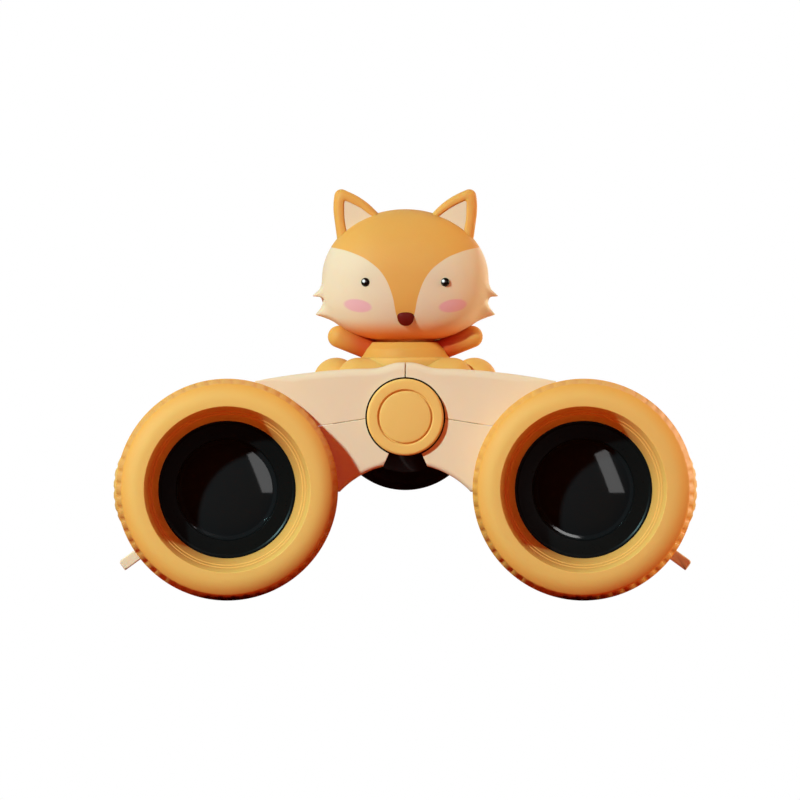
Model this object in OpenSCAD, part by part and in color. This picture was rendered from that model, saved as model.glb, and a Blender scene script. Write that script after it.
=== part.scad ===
// Children's toy binoculars with a fox figure seated on the bridge.
// The objectives face -Y, +Z is up, and z = 0 is the table under the rings.
// Left and right are those of the person who looks through: left is +X.

/* [Layout] */
// Width of the web between the hinge hub and a barrel, fully opened
web_w = 3.15; // [2.5:0.05:5]
// Height of the hinge axis above the barrel axes
hinge_rise = 14.5; // [13:0.1:18]
// Fold of each barrel about the hinge, in degrees
fold_travel = 24; // [10:1:26]

/* [Objective ring] */
// Height of the soft objective ring above the barrel
ring_step = 0.7; // [0.5:0.1:1.5]
// Length of the ring in front of the barrel
ring_len = 10; // [8:0.5:14]
// Thickness of the ring's front face
ring_face_t = 2; // [1.5:0.1:3]
// Reach of the ring's lip inside the spigot's bore
ring_lip = 0.55; // [0.2:0.05:1]
// Width of the ring's rounded shoulder
ring_shoulder_w = 2.5; // [1.8:0.1:3]
// Number of flutes round the ring
ring_flutes = 56; // [36:1:60]
// Radius of each flute
flute_r = 0.9; // [0.6:0.1:1.1]
// Depth of each flute
flute_depth = 0.45; // [0.2:0.05:0.6]

/* [Objective] */
// Narrowing of the funnel from the ring's mouth to its step
bezel_taper = 1.25; // [0.8:0.05:2]
// Depth of that step below the front of the ring
bezel_step_depth = 4.5; // [3:0.1:6]
// Width of the step
bezel_step_w = 0.25; // [0.1:0.05:0.5]
// Narrowing of the funnel from its step to the throat, where the black retainer shows
bezel_throat_taper = 1.7; // [1.2:0.1:2.4]
// Thickness of the lens retainer
retainer_t = 3; // [2:0.1:4]
// Overlap of the retainer on the edge of the lens
retainer_lap = 1.7; // [1.2:0.1:2.5]
// Chamfer round that opening
retainer_chamfer = 1.1; // [0.5:0.1:1.5]
// Distance from the edge of the objective lens out to the spigot's bore
lens_margin = 6.2; // [5.5:0.1:7]
// Thickness of the lens at its edge
lens_edge_t = 2; // [1.5:0.1:2.5]
// Height of the lens dome
lens_dome = 2.2; // [1:0.1:2.6]
// Width of the ledge behind the lens
lens_ledge = 1.4; // [1:0.1:2.5]

/* [Barrel] */
// Outer diameter of the barrel
barrel_d = 43; // [42:0.1:43.5]
// Wall of the barrel
barrel_wall = 2.2; // [1.6:0.1:2.6]
// Step from the barrel down to the spigot that the ring is pushed on
spigot_step = 2.7; // [2.2:0.1:3]
// Wall of the spigot
spigot_wall = 1.6; // [1.2:0.1:1.8]
// Thickness of the lens seat
seat_t = 5; // [4:0.1:7]
// Length of the guide bore for the eyepiece tube
guide_len = 6; // [5:0.5:9]
// Width of the barrel's rear rim, round the guide bore
tail_rim_w = 3.45; // [2.5:0.05:5]
// Length of the raised foot band near the back of the barrel
band_len = 8.5; // [6:0.5:10]
// Half angle covered by the side grip, in degrees
grip_half_angle = 20; // [12:1:26]
// Thickness of the side grip
grip_t = 1.2; // [0.8:0.1:1.6]
// Length of the side grip
grip_len = 29; // [20:1:30]
// Thickness of the strap lug
lug_t = 2.2; // [1.8:0.1:3]
// Reach of the strap lug beyond the barrel
lug_proud = 4.1; // [3.5:0.1:5.5]
// Length of the strap lug along the barrel
lug_len = 9; // [7:0.5:12]
// Diameter of the strap hole
lug_hole_d = 2.4; // [1.6:0.1:2.6]
// Angle of the strap lug below the horizontal, in degrees
lug_angle = 36; // [32:1:60]

/* [Bridge] */
// Diameter of the hinge hub
hub_d = 22; // [20:0.1:23]
// Wall of the hub shells
hub_wall = 3; // [2.4:0.1:3.4]
// Length of the front hub
front_hub_len = 6; // [5:0.5:9]
// Length of the rear hub
rear_hub_len = 8; // [6:0.5:12]
// Height of the arm's top above the hinge axis
arm_rise = 9.75; // [8.6:0.05:10.4]
// Place across the bridge where the arm's top starts to fall away
arm_crest = 3; // [1:0.5:5]
// Radius of the arch under the bridge
arch_r = 18; // [17:0.1:19]
// Height from the crown of the arch up to the hinge axis
arch_drop = 9.3; // [8.6:0.1:10]
// Wall of the arm covers
cover_wall = 2; // [1.6:0.1:2.6]
// Slope of the parting line between cover and frame, in degrees
parting_slope = 9; // [4:0.5:12]
// Height of the parting line above the hinge axis, at the hinge
parting_rise = 0.95; // [0.5:0.05:1.5]
// Distance of the arm screws from the bore of the hub shells
arm_screw_out = 3; // [2.8:0.1:3.4]

/* [Hinge] */
// Diameter of the hinge spindle
spindle_d = 6; // [5:0.1:6.6]
// Space between the hinge knuckles and the hub shells
knuckle_gap = 0.6; // [0.4:0.1:1.2]
// Diameter of the hinge cap
cap_d = 15.8; // [15:0.1:17]
// Thickness of the hinge cap
cap_t = 1.5; // [1.2:0.1:2.4]
// Width of the cap's rim round its plain disc
cap_rim_w = 2.7; // [2:0.1:3.4]
// Thickness of a friction washer
washer_t = 0.5; // [0.4:0.05:0.8]
// Outer diameter of the washers
washer_d = 13; // [11:0.5:15]

/* [Focus] */
// Space between the focus wheel and the barrels
wheel_gap = 1.7; // [1:0.1:3]
// Width of the focus wheel
wheel_w = 12.7; // [9:0.1:15]
// Number of grip grooves round the wheel
wheel_grooves = 40; // [24:1:48]
// Outer diameter of the focus screw
screw_d = 10; // [9:0.1:11]
// Focus travel from end to end
focus_travel = 4; // [2:0.2:5]
// Free space left at each end of the focus travel
travel_spare = 1.3; // [0.8:0.1:2.5]
// Outer diameter of the carriage sleeve
carriage_d = 15.2; // [14:0.1:16]
// Thickness of the carriage flanges
flange_t = 1.8; // [1.4:0.1:2.4]
// Thickness of an eyepiece arm
eye_arm_t = 3.8; // [3:0.1:4.5]
// Radial thickness of the eyepiece arm round its two bores
eye_arm_wall = 2.9; // [2.4:0.1:3.4]
// Height of the eyepiece arm's beam
eye_arm_h = 9; // [6:0.5:11]
// Length of the end nut
nut_len = 4; // [3:0.5:6]

/* [Eyepiece] */
// Outer diameter of the eyepiece tube
tube_d = 26; // [25:0.1:27]
// Wall of the eyepiece tube
tube_wall = 1.5; // [1.2:0.1:1.8]
// Length of tube inside the barrel
tube_inside = 12; // [9:0.5:16]
// Radial thickness of the dioptre ring and of the left eyepiece's collar
dioptre_wall = 2.5; // [2:0.1:3.5]
// Length of the dioptre ring
dioptre_len = 10; // [7:0.5:12]
// Travel of the right ocular from end to end
dioptre_travel = 2; // [1:0.1:2.4]
// Number of grip grooves on the dioptre ring
dioptre_grooves = 36; // [24:1:48]
// Length of the eyecup
cup_len = 12; // [10:0.5:15]
// Reach of the eyecup's rim beyond the tube
cup_reach = 4.2; // [3.6:0.1:5]
// Wall of the eyecup
cup_wall = 2.4; // [2:0.1:2.8]
// Depth of the eyecup's socket over the tube
cup_socket = 5; // [4:0.1:6]
// Thickness of the ocular lens at its edge
ocular_t = 4; // [3:0.1:4.4]

/* [Fox] */
// Width of the head without its cheek tufts
head_w = 33.3; // [30:0.1:36]
// Depth of the head from face to back
head_depth = 23; // [20:0.5:27]
// Height of the head above its widest level
head_up = 13.8; // [12:0.1:16]
// Height of the head below its widest level
head_down = 12.6; // [11:0.1:14]
// Radius of the fox's seat
hip_r = 10; // [9:0.1:11]
// Height of the seat's top edge above the collar
hip_h = 3.4; // [2.6:0.1:4]
// Radius of the torso at the seat
torso_r = 8.8; // [8:0.1:9.2]
// Radius of the shoulders
shoulder_r = 6.8; // [6:0.1:7.4]
// Height of the torso above the seat
torso_h = 3.1; // [2.6:0.1:5]
// Radius of the neck
neck_r = 4.5; // [3.5:0.1:5]
// Length of the neck inside the head
neck_len = 4.3; // [3:0.1:6]
// Radius of the legs
leg_r = 4.6; // [4:0.1:5]
// Distance of the legs from the middle
leg_x = 13.8; // [13:0.1:14.2]
// Radius of the arms
paw_r = 2.2; // [1.8:0.1:2.5]
// Distance of the paws from the middle
paw_x = 13.3; // [12:0.1:14]
// Height of the paws above the shoulders
paw_lift = 1.1; // [0.6:0.1:1.6]
// Rise of the arms, in degrees
paw_slope = 23; // [15:1:27]
// Distance of the ear tips from the middle
ear_x = 12.6; // [11:0.1:13.5]
// Height of the ears above the top of the head
ear_up = 4; // [3:0.1:6]
// Rounding of the ear tips
ear_r = 1.6; // [1.2:0.1:2]
// Radius of the eyes
eye_r = 0.87; // [0.6:0.01:1.2]
// Distance of the eyes from the middle
eye_x = 7.95; // [6.5:0.05:9]
// Drop of the eyes below the head's widest level
eye_drop = 0.8; // [0.2:0.1:2]
// Radius of the nose
nose_r = 1.65; // [1.2:0.05:2]
// Drop of the nose below the head's widest level
nose_drop = 8; // [7:0.1:9]

/* [Fasteners] */
// Shank diameter of the screws
screw_shank_d = 2; // [1.6:0.1:2.2]
// Head diameter of the screws
screw_head_d = 3.8; // [3.2:0.1:4]
// Head height of the screws
screw_head_h = 1.4; // [1:0.1:1.8]

/* [Clearances] */
// Radial clearance of bores that turn or slide
fit_gap = 0.05; // [0.02:0.01:0.08]
// Gap between faces that turn past each other
face_gap = 0.2; // [0.15:0.05:0.3]
// Gap between curved faces that turn past each other
turn_gap = 0.35; // [0.3:0.05:0.4]
// Gap between the two arms above the hinge cap
split_gap = 0.2; // [0.15:0.05:0.3]
// Width of the line between arm cover and frame
parting_gap = 0.16; // [0.1:0.02:0.24]
// Angle left between the arms when they are folded, in degrees
fold_margin = 0.8; // [0.5:0.1:2]

/* [Hidden] */
$fn = 96;
beige = "#e7c8a8";
orange = "#e6a84c";
black = "#1b1718";
steel = "#b9bcc0";
glass = "#33363c";
brown = "#5a190c";

barrel_r = barrel_d / 2;
ring_r = barrel_r + ring_step;
ring_edge_r = ring_r - ring_shoulder_w;
spigot_r = barrel_r - spigot_step;
mouth_r = spigot_r - spigot_wall;
ring_mouth_r = mouth_r - ring_lip;
bezel_step_r = ring_mouth_r - bezel_taper;
bezel_throat_r = bezel_step_r - bezel_throat_taper;
lens_r = mouth_r - lens_margin;
retainer_hole_r = lens_r - retainer_lap;
lens_stop_r = lens_r - lens_ledge;
hub_r = hub_d / 2;
hub_in = hub_r - hub_wall;
knuckle_r = hub_in - knuckle_gap;
arm_screw_x = hub_in + arm_screw_out;
cap_r = cap_d / 2;
disc_r = cap_r - cap_rim_w;
spindle_r = spindle_d / 2;
tube_r = tube_d / 2;
tube_in = tube_r - tube_wall;
dioptre_r = tube_r + dioptre_wall;
tail_rim_r = tube_r + fit_gap + tail_rim_w;
screw_r = screw_d / 2;
carriage_r = carriage_d / 2;
flange_inset = 0.5;
flange_r = carriage_r + eye_arm_wall - flange_inset;
shank_r = screw_shank_d / 2;
cut = 1;
far = 100;

barrel_x = hub_r + web_w + barrel_r;
barrel_z = ring_r;
hinge_z = barrel_z + hinge_rise;
arm_angle = -atan2(hinge_rise, barrel_x);
arm_len = sqrt(barrel_x * barrel_x + hinge_rise * hinge_rise);
wheel_r = arm_len - ring_r - wheel_gap;
notch_angle = fold_travel + fold_margin;

// Lengths along the object, summed from the front to the back
collar_len = 2 * (hip_r + 2 * face_gap);
hubs_len = front_hub_len + collar_len + rear_hub_len;
carriage_len = 2 * flange_t + 2 * eye_arm_t + 4 * face_gap;
washer_room = washer_t + 2 * face_gap;
ocular_room = 1.5;
nut_end_t = 1;
tail_round = 4.5;
wheel_start = hubs_len + washer_room;
carriage_start = wheel_start + wheel_w + focus_travel / 2 + travel_spare;
tail_room = flange_t + face_gap;
barrel_len = carriage_start - tail_room;
neck_out = tail_room + carriage_len + dioptre_len + dioptre_travel / 2 + ocular_room;
total_len = ring_len + barrel_len + neck_out + cup_len;

y_front = -total_len / 2;
y_barrel = y_front + ring_len;
y_collar = y_barrel + front_hub_len;
y_rear_hub = y_collar + collar_len;
y_hub_end = y_rear_hub + rear_hub_len;
y_wheel = y_barrel + wheel_start;
y_wheel_end = y_wheel + wheel_w;
y_carriage = y_barrel + carriage_start;
y_carriage_end = y_carriage + carriage_len;
y_tail = y_barrel + barrel_len;
y_eye_left = y_carriage + flange_t + face_gap;
y_eye_right = y_eye_left + eye_arm_t + 2 * face_gap;
y_dioptre = y_carriage_end;
y_cup = y_tail + neck_out;
y_end = y_cup + cup_len;
y_screw_end = y_carriage_end + focus_travel / 2 + travel_spare;
y_spindle_end = y_screw_end + face_gap + nut_len - nut_end_t;
y_cap = y_barrel - face_gap - cap_t;
y_retainer_end = y_barrel + retainer_t;
y_seat_end = y_retainer_end + seat_t;
y_band = y_tail - band_len - tail_round;
y_band_end = y_band + band_len;
y_tube_end = y_cup + cup_socket;
y_fox = y_collar + collar_len / 2;

// Place where the funnel passes from the soft ring to the bezel
mouth_back = ring_mouth_r - bezel_taper * ring_face_t / bezel_step_depth;

// Levels of the fox, from its seat up
seat_rise = 8.5;
seat_z = hinge_z + seat_rise;
hip_z = seat_z + hip_h;
shoulder_z = hip_z + torso_h;
head_z = shoulder_z + face_gap + head_down;
head_top = head_z + head_up;
head_rx = head_w / 2;
head_ry = head_depth / 2;
crown_power = 2;
jaw_power = 2.7;
paw_z = shoulder_z + paw_lift;
eye_z = head_z - eye_drop;
nose_z = head_z - nose_drop;
ear_root_outer = 7.5;
ear_root_inner = 10.8;
ear_inner_x = 5.4;
ear_forward = 1.5;
ear_base_outer = [ear_x, head_z + ear_root_outer];
ear_base_inner = [ear_inner_x, head_z + ear_root_inner];
ear_tip = [ear_x, head_top + ear_up - ear_r];
ear_y = y_fox - ear_forward;
ear_front = ear_y - ear_r;
inlay_t = 0.5;
inlay_sink = 0.15;
// Corners of the ear's pale panel, as offsets from the ear's own corners
inlay_tip = [-0.3, -1.0];
inlay_inner = [1.5, 1.65];
inlay_outer = [-0.75, 2.45];
// Cheek tufts: root and tip beside the head's widest place, upper then lower
tuft_root_r = 3;
tuft_tip_r = 0.4;
tufts = [[[0, -0.4], [1.6, -3]], [[-1, -6.1], [1, -6.9]]];
// Tail: its root in the torso, its rise and reach, and its radii
tail_in = 1;
tail_up = 1.2;
tail_lift = 13;
tail_back = 6.5;
tail_r = 3.1;
tail_tip_r = 0.15;

// Points of an arc in a profile
function arc(cx, cy, r, from, to, steps = 8) =
    [for (i = [0:steps]) let (a = from + (to - from) * i / steps) [cx + r * cos(a), cy + r * sin(a)]];

// Profile height of the arm's top edge: level at the crest, then falling to the barrel's shoulder
arm_inset = 5.5;
arm_lap = 0.25;
arm_end = barrel_x - arm_inset;
arm_end_z = barrel_z + barrel_r + arm_lap;
function arm_top(x) =
    let (t = max(0, x - arm_crest) / (arm_end - arm_crest))
    hinge_z + arm_rise - (hinge_z + arm_rise - arm_end_z) * t * t;

// Share of the head's full width and depth that is left at a height above its widest level
function head_share(dz) =
    dz > 0 ? pow(1 - pow(dz / head_up, crown_power), 1 / crown_power)
           : pow(1 - pow(-dz / head_down, jaw_power), 1 / jaw_power);

// Depth of the face in front of the head's middle, at a place across and a height
function face_depth(x, z) =
    let (s = head_share(z - head_z))
    head_ry * sqrt(max(0, s * s - x * x / (head_rx * head_rx)));

// Puts a piece that is drawn on the left on the chosen side
module side(s) {
    if (s > 0) children();
    else mirror([1, 0, 0]) children();
}

// A turned piece about an axis along Y, from points of radius and place
module turned(points, x = 0, z = 0) {
    translate([x, 0, z]) rotate([-90, 0, 0]) rotate_extrude() polygon(points);
}

// A round rod along Y
module rod(r, y0, y1, x = 0, z = 0) {
    translate([x, y0, z]) rotate([-90, 0, 0]) cylinder(r = r, h = y1 - y0);
}

// A plate cut to an outline that is drawn as seen from the front
module plate(y0, y1) {
    translate([0, y1, 0]) rotate([90, 0, 0]) linear_extrude(height = y1 - y0) children();
}

// A disc with grip grooves round its rim
module grooved_disc(r, count, groove_r, depth) {
    difference() {
        circle(r = r);
        for (i = [0:count - 1]) {
            rotate(360 / count * i) translate([r + groove_r - depth, 0]) circle(r = groove_r, $fn = 24);
        }
    }
}

// A round bar with ball ends
module ball_bar(from, to, r) {
    d = to - from;
    length = norm(d);
    translate(from) {
        sphere(r = r);
        rotate([0, acos(d[2] / length), atan2(d[1], d[0])]) {
            cylinder(r = r, h = length);
            translate([0, 0, length]) sphere(r = r);
        }
    }
}

// Bridge arms

// Outline of a whole arm from the front: hub half, web and shoulder on the barrel
module arm_outline() {
    steps = 20;
    top = [for (i = [0:steps]) let (x = arm_crest + (arm_end - arm_crest) * i / steps) [x, arm_top(x)]];
    difference() {
        union() {
            polygon(concat(
                [[split_gap / 2, barrel_z], [split_gap / 2, arm_top(0)]],
                top,
                [[arm_end, barrel_z]]
            ));
            intersection() {
                translate([0, hinge_z]) circle(r = hub_r);
                translate([split_gap / 2, hinge_z - hub_r]) square([hub_d, hub_d]);
            }
        }
        translate([0, hinge_z - arch_drop - arch_r]) circle(r = arch_r);
        translate([barrel_x, barrel_z]) circle(r = barrel_r + fit_gap);
        polygon([
            [0, hinge_z],
            [far * sin(notch_angle), hinge_z - far * cos(notch_angle)],
            [-far, hinge_z - far], [-far, hinge_z]
        ]);
    }
}

// Half plane on one side of the parting line: 1 above it, -1 below it
module parting_half(way) {
    translate([0, hinge_z + parting_rise]) rotate(-parting_slope)
        translate([-far, way > 0 ? parting_gap / 2 : -far - parting_gap / 2]) square([2 * far, far]);
}

// One half of an arm, as three slices: front hub, the stretch beside the collar, rear hub
module arm_half(way) {
    for (span = [[y_barrel, y_collar], [y_rear_hub, y_hub_end]]) {
        plate(span[0], span[1]) difference() {
            intersection() {
                arm_outline();
                parting_half(way);
            }
            translate([0, hinge_z]) circle(r = hub_in);
        }
    }
    plate(y_collar, y_rear_hub) difference() {
        intersection() {
            arm_outline();
            parting_half(way);
        }
        translate([0, hinge_z]) circle(r = hub_r + turn_gap);
        translate([0, seat_z - 2 * face_gap]) square([leg_x + leg_r + turn_gap, far]);
    }
}

// The places along the bridge of the two arm screws
arm_screw_ys = [(y_barrel + y_collar) / 2, (y_rear_hub + y_hub_end) / 2];
arch_z = hinge_z - arch_drop - arch_r + sqrt(arch_r * arch_r - arm_screw_x * arm_screw_x);
screw_sink = 0.6;
screw_spare = 0.4;
screw_cover = 4;
arm_screw_head_z = arch_z + screw_head_h + screw_sink;
arm_screw_top = hinge_z + arm_rise - screw_cover;

// A knuckle of the hinge with the web that ties it to the frame
module knuckle(y0, y1) {
    web_top = 8;
    web_low = notch_angle + 5;
    difference() {
        union() {
            rod(knuckle_r, y0, y1, 0, hinge_z);
            plate(y0, y1) intersection() {
                translate([0, hinge_z]) circle(r = hub_in + hub_wall / 2);
                polygon([
                    [0, hinge_z],
                    [far * cos(web_top), hinge_z - far * sin(web_top)],
                    [far * sin(web_low), hinge_z - far * cos(web_low)]
                ]);
            }
        }
        rod(spindle_r + fit_gap, y0 - cut, y1 + cut, 0, hinge_z);
    }
}

// Lower half of an arm with its two knuckles
module arm_frame(front_first) {
    front_mid = (y_barrel + y_collar) / 2;
    rear_mid = (y_rear_hub + y_hub_end) / 2;
    half_gap = face_gap / 2;
    color(beige) difference() {
        union() {
            arm_half(-1);
            if (front_first) {
                knuckle(y_barrel, front_mid - half_gap);
                knuckle(rear_mid + half_gap, y_hub_end);
            } else {
                knuckle(front_mid + half_gap, y_collar);
                knuckle(y_rear_hub, rear_mid - half_gap);
            }
        }
        for (y = arm_screw_ys) {
            translate([arm_screw_x, y, 0]) {
                cylinder(r = screw_head_d / 2 + face_gap, h = arm_screw_head_z);
                cylinder(r = shank_r + fit_gap, h = far);
            }
        }
    }
}

// Upper half of an arm, with hollow cells between ribs
module arm_cover() {
    cells = 3;
    cave_x = hub_r + 2 * cover_wall;
    cave_w = arm_end - cave_x - 2 * cover_wall;
    cave_top = seat_z - 2 * cover_wall;
    pitch = (y_hub_end - y_barrel - cover_wall) / cells;
    color(beige) difference() {
        arm_half(1);
        for (i = [0:cells - 1]) {
            y0 = y_barrel + cover_wall + pitch * i;
            plate(y0, y0 + pitch - cover_wall) difference() {
                translate([cave_x, barrel_z]) square([cave_w, cave_top - barrel_z]);
                translate([barrel_x, barrel_z]) circle(r = barrel_r + cover_wall);
            }
        }
        for (y = arm_screw_ys) {
            translate([arm_screw_x, y, barrel_z])
                cylinder(r = shank_r + fit_gap, h = arm_screw_top + screw_spare - barrel_z);
        }
    }
}

// Pan head screw that points up
module pan_screw(x, y, head_z, top_z) {
    translate([x, y, head_z - screw_head_h]) {
        cylinder(r = screw_head_d / 2, h = screw_head_h);
        cylinder(r = shank_r, h = top_z - head_z + screw_head_h);
    }
}

module arm_screws() {
    color(steel) for (y = arm_screw_ys) pan_screw(arm_screw_x, y, arm_screw_head_z, arm_screw_top);
}

// Barrel and objective

module barrel() {
    band_r = ring_r;
    chamfer = band_r - barrel_r;
    lug_hole_r = barrel_r + lug_proud / 2;
    lug_y = y_band - chamfer - face_gap - lug_len;
    tail_edge = 0.7;
    round_r = tail_rim_r + tail_edge;
    tail_turn = [10, 80];
    guide_taper = 3;
    color(beige) {
        difference() {
            union() {
                turned(concat(
                    [
                        [spigot_r, y_front + ring_face_t], [spigot_r, y_barrel],
                        [barrel_r, y_barrel], [barrel_r, y_band - chamfer],
                        [band_r, y_band], [band_r, y_band_end]
                    ],
                    arc(round_r, y_band_end, band_r - round_r, tail_turn[0], tail_turn[1], 6),
                    [
                        [tail_rim_r, y_tail], [tube_r + fit_gap, y_tail],
                        [tube_r + fit_gap, y_tail - guide_len],
                        [barrel_r - barrel_wall, y_tail - guide_len - guide_taper],
                        [barrel_r - barrel_wall, y_seat_end],
                        [lens_stop_r, y_seat_end],
                        [lens_stop_r, y_retainer_end + lens_edge_t],
                        [lens_r + fit_gap, y_retainer_end + lens_edge_t],
                        [lens_r + fit_gap, y_retainer_end],
                        [mouth_r, y_retainer_end], [mouth_r, y_front + ring_face_t]
                    ]
                ), barrel_x, barrel_z);
                translate([barrel_x, lug_y, barrel_z]) rotate([0, lug_angle, 0])
                    translate([barrel_r - barrel_wall / 2, 0, -lug_t / 2])
                        cube([lug_proud + barrel_wall / 2, lug_len, lug_t]);
            }
            translate([barrel_x, lug_y + lug_len / 2, barrel_z]) rotate([0, lug_angle, 0])
                translate([lug_hole_r, 0, -lug_t]) cylinder(r = lug_hole_d / 2, h = 2 * lug_t, $fn = 48);
        }
    }
}

module objective_ring() {
    shoulder = 2.2;
    rim_len = 1.6;
    taper = 0.9;
    front_r = ring_r - taper;
    color(orange) difference() {
        turned(concat(
            [[mouth_back, y_front + ring_face_t], [ring_mouth_r, y_front]],
            [for (i = [0:6]) let (a = 90 * i / 6)
                [ring_edge_r + (front_r - ring_edge_r) * sin(a), y_front + shoulder * (1 - cos(a))]],
            [
                [ring_r, y_barrel - rim_len], [ring_r, y_barrel - rim_len / 3],
                [ring_r - rim_len / 3, y_barrel],
                [spigot_r + fit_gap, y_barrel], [spigot_r + fit_gap, y_front + ring_face_t]
            ]
        ), barrel_x, barrel_z);
        for (i = [0:ring_flutes - 1]) {
            translate([barrel_x, 0, barrel_z]) rotate([0, 360 / ring_flutes * (i + 0.5), 0])
                translate([ring_r + flute_r - flute_depth, y_front, 0]) rotate([-90, 0, 0])
                    cylinder(r = flute_r, h = ring_len - rim_len - face_gap, $fn = 24);
        }
    }
}

// Stepped funnel between the ring's mouth and the lens retainer
module bezel() {
    y_start = y_front + ring_face_t;
    y_step = y_front + bezel_step_depth;
    color(orange) turned([
        [mouth_r - fit_gap, y_start], [mouth_back, y_start],
        [bezel_step_r, y_step], [bezel_step_r - bezel_step_w, y_step],
        [bezel_throat_r, y_barrel], [mouth_r - fit_gap, y_barrel]
    ], barrel_x, barrel_z);
}

module lens_retainer() {
    color(black) turned([
        [mouth_r - fit_gap, y_barrel], [retainer_hole_r + retainer_chamfer, y_barrel],
        [retainer_hole_r, y_barrel + retainer_chamfer], [retainer_hole_r, y_retainer_end],
        [mouth_r - fit_gap, y_retainer_end]
    ], barrel_x, barrel_z);
}

// Lens whose dome stands in the retainer's opening
module objective_lens() {
    dome_r = retainer_hole_r - turn_gap;
    ball = (dome_r * dome_r + lens_dome * lens_dome) / (2 * lens_dome);
    spread = asin(dome_r / ball);
    color(glass) turned(concat(
        [[0, y_retainer_end + lens_edge_t], [lens_r, y_retainer_end + lens_edge_t], [lens_r, y_retainer_end]],
        arc(0, y_retainer_end - lens_dome + ball, ball, -90 + spread, -90, 8)
    ), barrel_x, barrel_z);
}

// Thumb pad with round ends on the outer side of the barrel
module side_grip() {
    half = barrel_r * sin(grip_half_angle);
    y_grip = y_band - ring_r + barrel_r - face_gap - grip_len;
    color(orange) translate([barrel_x, 0, barrel_z]) difference() {
        intersection() {
            rod(barrel_r + grip_t, y_grip - cut, y_grip + grip_len + cut);
            rotate([0, 90, 0]) linear_extrude(height = far) polygon(concat(
                arc(0, y_grip + grip_len - half, half, 0, 180, 16),
                arc(0, y_grip + half, half, 180, 360, 16)
            ));
        }
        rod(barrel_r + fit_gap, y_grip - 2 * cut, y_grip + grip_len + 2 * cut);
    }
}

// Hinge and focus

module hinge_spindle() {
    color(steel) rod(spindle_r, y_cap + cap_t / 2, y_spindle_end, 0, hinge_z);
}

module hinge_cap() {
    round_r = cap_t / 2;
    groove_w = 0.5;
    y_back = y_cap + cap_t;
    seat_r = disc_r + fit_gap;
    color(orange) turned(concat(
        [[spindle_r + fit_gap, y_back], [cap_r, y_back]],
        arc(cap_r - round_r, y_cap + round_r, round_r, 0, -90, 6),
        [[seat_r + groove_w, y_cap], [seat_r, y_cap + groove_w], [seat_r, y_back - cap_t / 2],
         [spindle_r + fit_gap, y_back - cap_t / 2]]
    ), 0, hinge_z);
}

module cap_disc() {
    crown = 0.35;
    edge = 0.3;
    steps = 6;
    y_edge = y_cap + edge / 2;
    color(orange) turned(concat(
        [[0, y_cap + cap_t / 2], [disc_r, y_cap + cap_t / 2], [disc_r, y_edge + edge]],
        [for (i = [0:steps]) let (t = 1 - i / steps) [(disc_r - edge) * t, y_edge - crown * (1 - t * t)]]
    ), 0, hinge_z);
}

// Washer on the spindle
module washer(y0) {
    turned([
        [spindle_r + fit_gap, y0], [washer_d / 2, y0],
        [washer_d / 2, y0 + washer_t], [spindle_r + fit_gap, y0 + washer_t]
    ], 0, hinge_z);
}

module hinge_washers() {
    color(steel) {
        washer(y_collar + face_gap);
        washer(y_rear_hub - face_gap - washer_t);
    }
}

module thrust_washer() {
    color(black) washer(y_hub_end + face_gap);
}

fox_screw_wall = 1.2;
fox_screw_drop = 5;
fox_screw_x = spindle_r + screw_head_d / 2 + fox_screw_wall;
fox_screw_head_z = hinge_z - fox_screw_drop;
fox_screw_top = hip_z + screw_sink;

// Fixed block between the two hubs, with the flat that the fox stands on
module centre_collar() {
    y0 = y_collar + washer_room;
    y1 = y_rear_hub - washer_room;
    color(black) difference() {
        rod(hub_r, y0, y1, 0, hinge_z);
        rod(spindle_r + fit_gap, y0 - cut, y1 + cut, 0, hinge_z);
        translate([-hub_r, y0 - cut, seat_z]) cube([hub_d, y1 - y0 + 2 * cut, hub_r]);
        for (s = [-1, 1]) translate([s * fox_screw_x, y_fox, hinge_z - hub_r]) {
            cylinder(r = screw_head_d / 2 + face_gap, h = fox_screw_head_z - hinge_z + hub_r);
            cylinder(r = shank_r + fit_gap, h = hub_d);
        }
    }
}

module fox_screws() {
    color(steel) for (s = [-1, 1]) pan_screw(s * fox_screw_x, y_fox, fox_screw_head_z, fox_screw_top);
}

module end_nut() {
    r = screw_r + 1.6;
    round_r = 1.2;
    y0 = y_screw_end + face_gap;
    color(black) turned(concat(
        [[0, y_spindle_end], [spindle_r + fit_gap, y_spindle_end], [spindle_r + fit_gap, y0], [r, y0]],
        arc(r - round_r, y0 + nut_len - round_r, round_r, 0, 90, 5),
        [[0, y0 + nut_len]]
    ), 0, hinge_z);
}

module focus_wheel() {
    bevel = 1.2;
    groove_r = 0.9;
    groove_depth = 0.5;
    dish_in = screw_r + 2.4;
    dish_out = wheel_r - 3;
    dish_depth = 5;
    color(black) translate([0, 0, hinge_z]) difference() {
        intersection() {
            plate(y_wheel, y_wheel_end) grooved_disc(wheel_r, wheel_grooves, groove_r, groove_depth);
            turned([
                [0, y_wheel], [wheel_r - bevel, y_wheel], [wheel_r, y_wheel + bevel],
                [wheel_r, y_wheel_end - bevel], [wheel_r - bevel, y_wheel_end], [0, y_wheel_end]
            ]);
        }
        rod(screw_r + fit_gap, y_wheel - cut, y_wheel_end + cut);
        turned([
            [dish_in, y_wheel_end - dish_depth], [dish_out, y_wheel_end - dish_depth],
            [dish_out, y_wheel_end + cut], [dish_in, y_wheel_end + cut]
        ]);
    }
}

// The thread is drawn at its outer diameter
module focus_screw() {
    color(steel) turned([
        [spindle_r + fit_gap, y_wheel], [screw_r, y_wheel],
        [screw_r, y_screw_end], [spindle_r + fit_gap, y_screw_end]
    ], 0, hinge_z);
}

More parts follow.
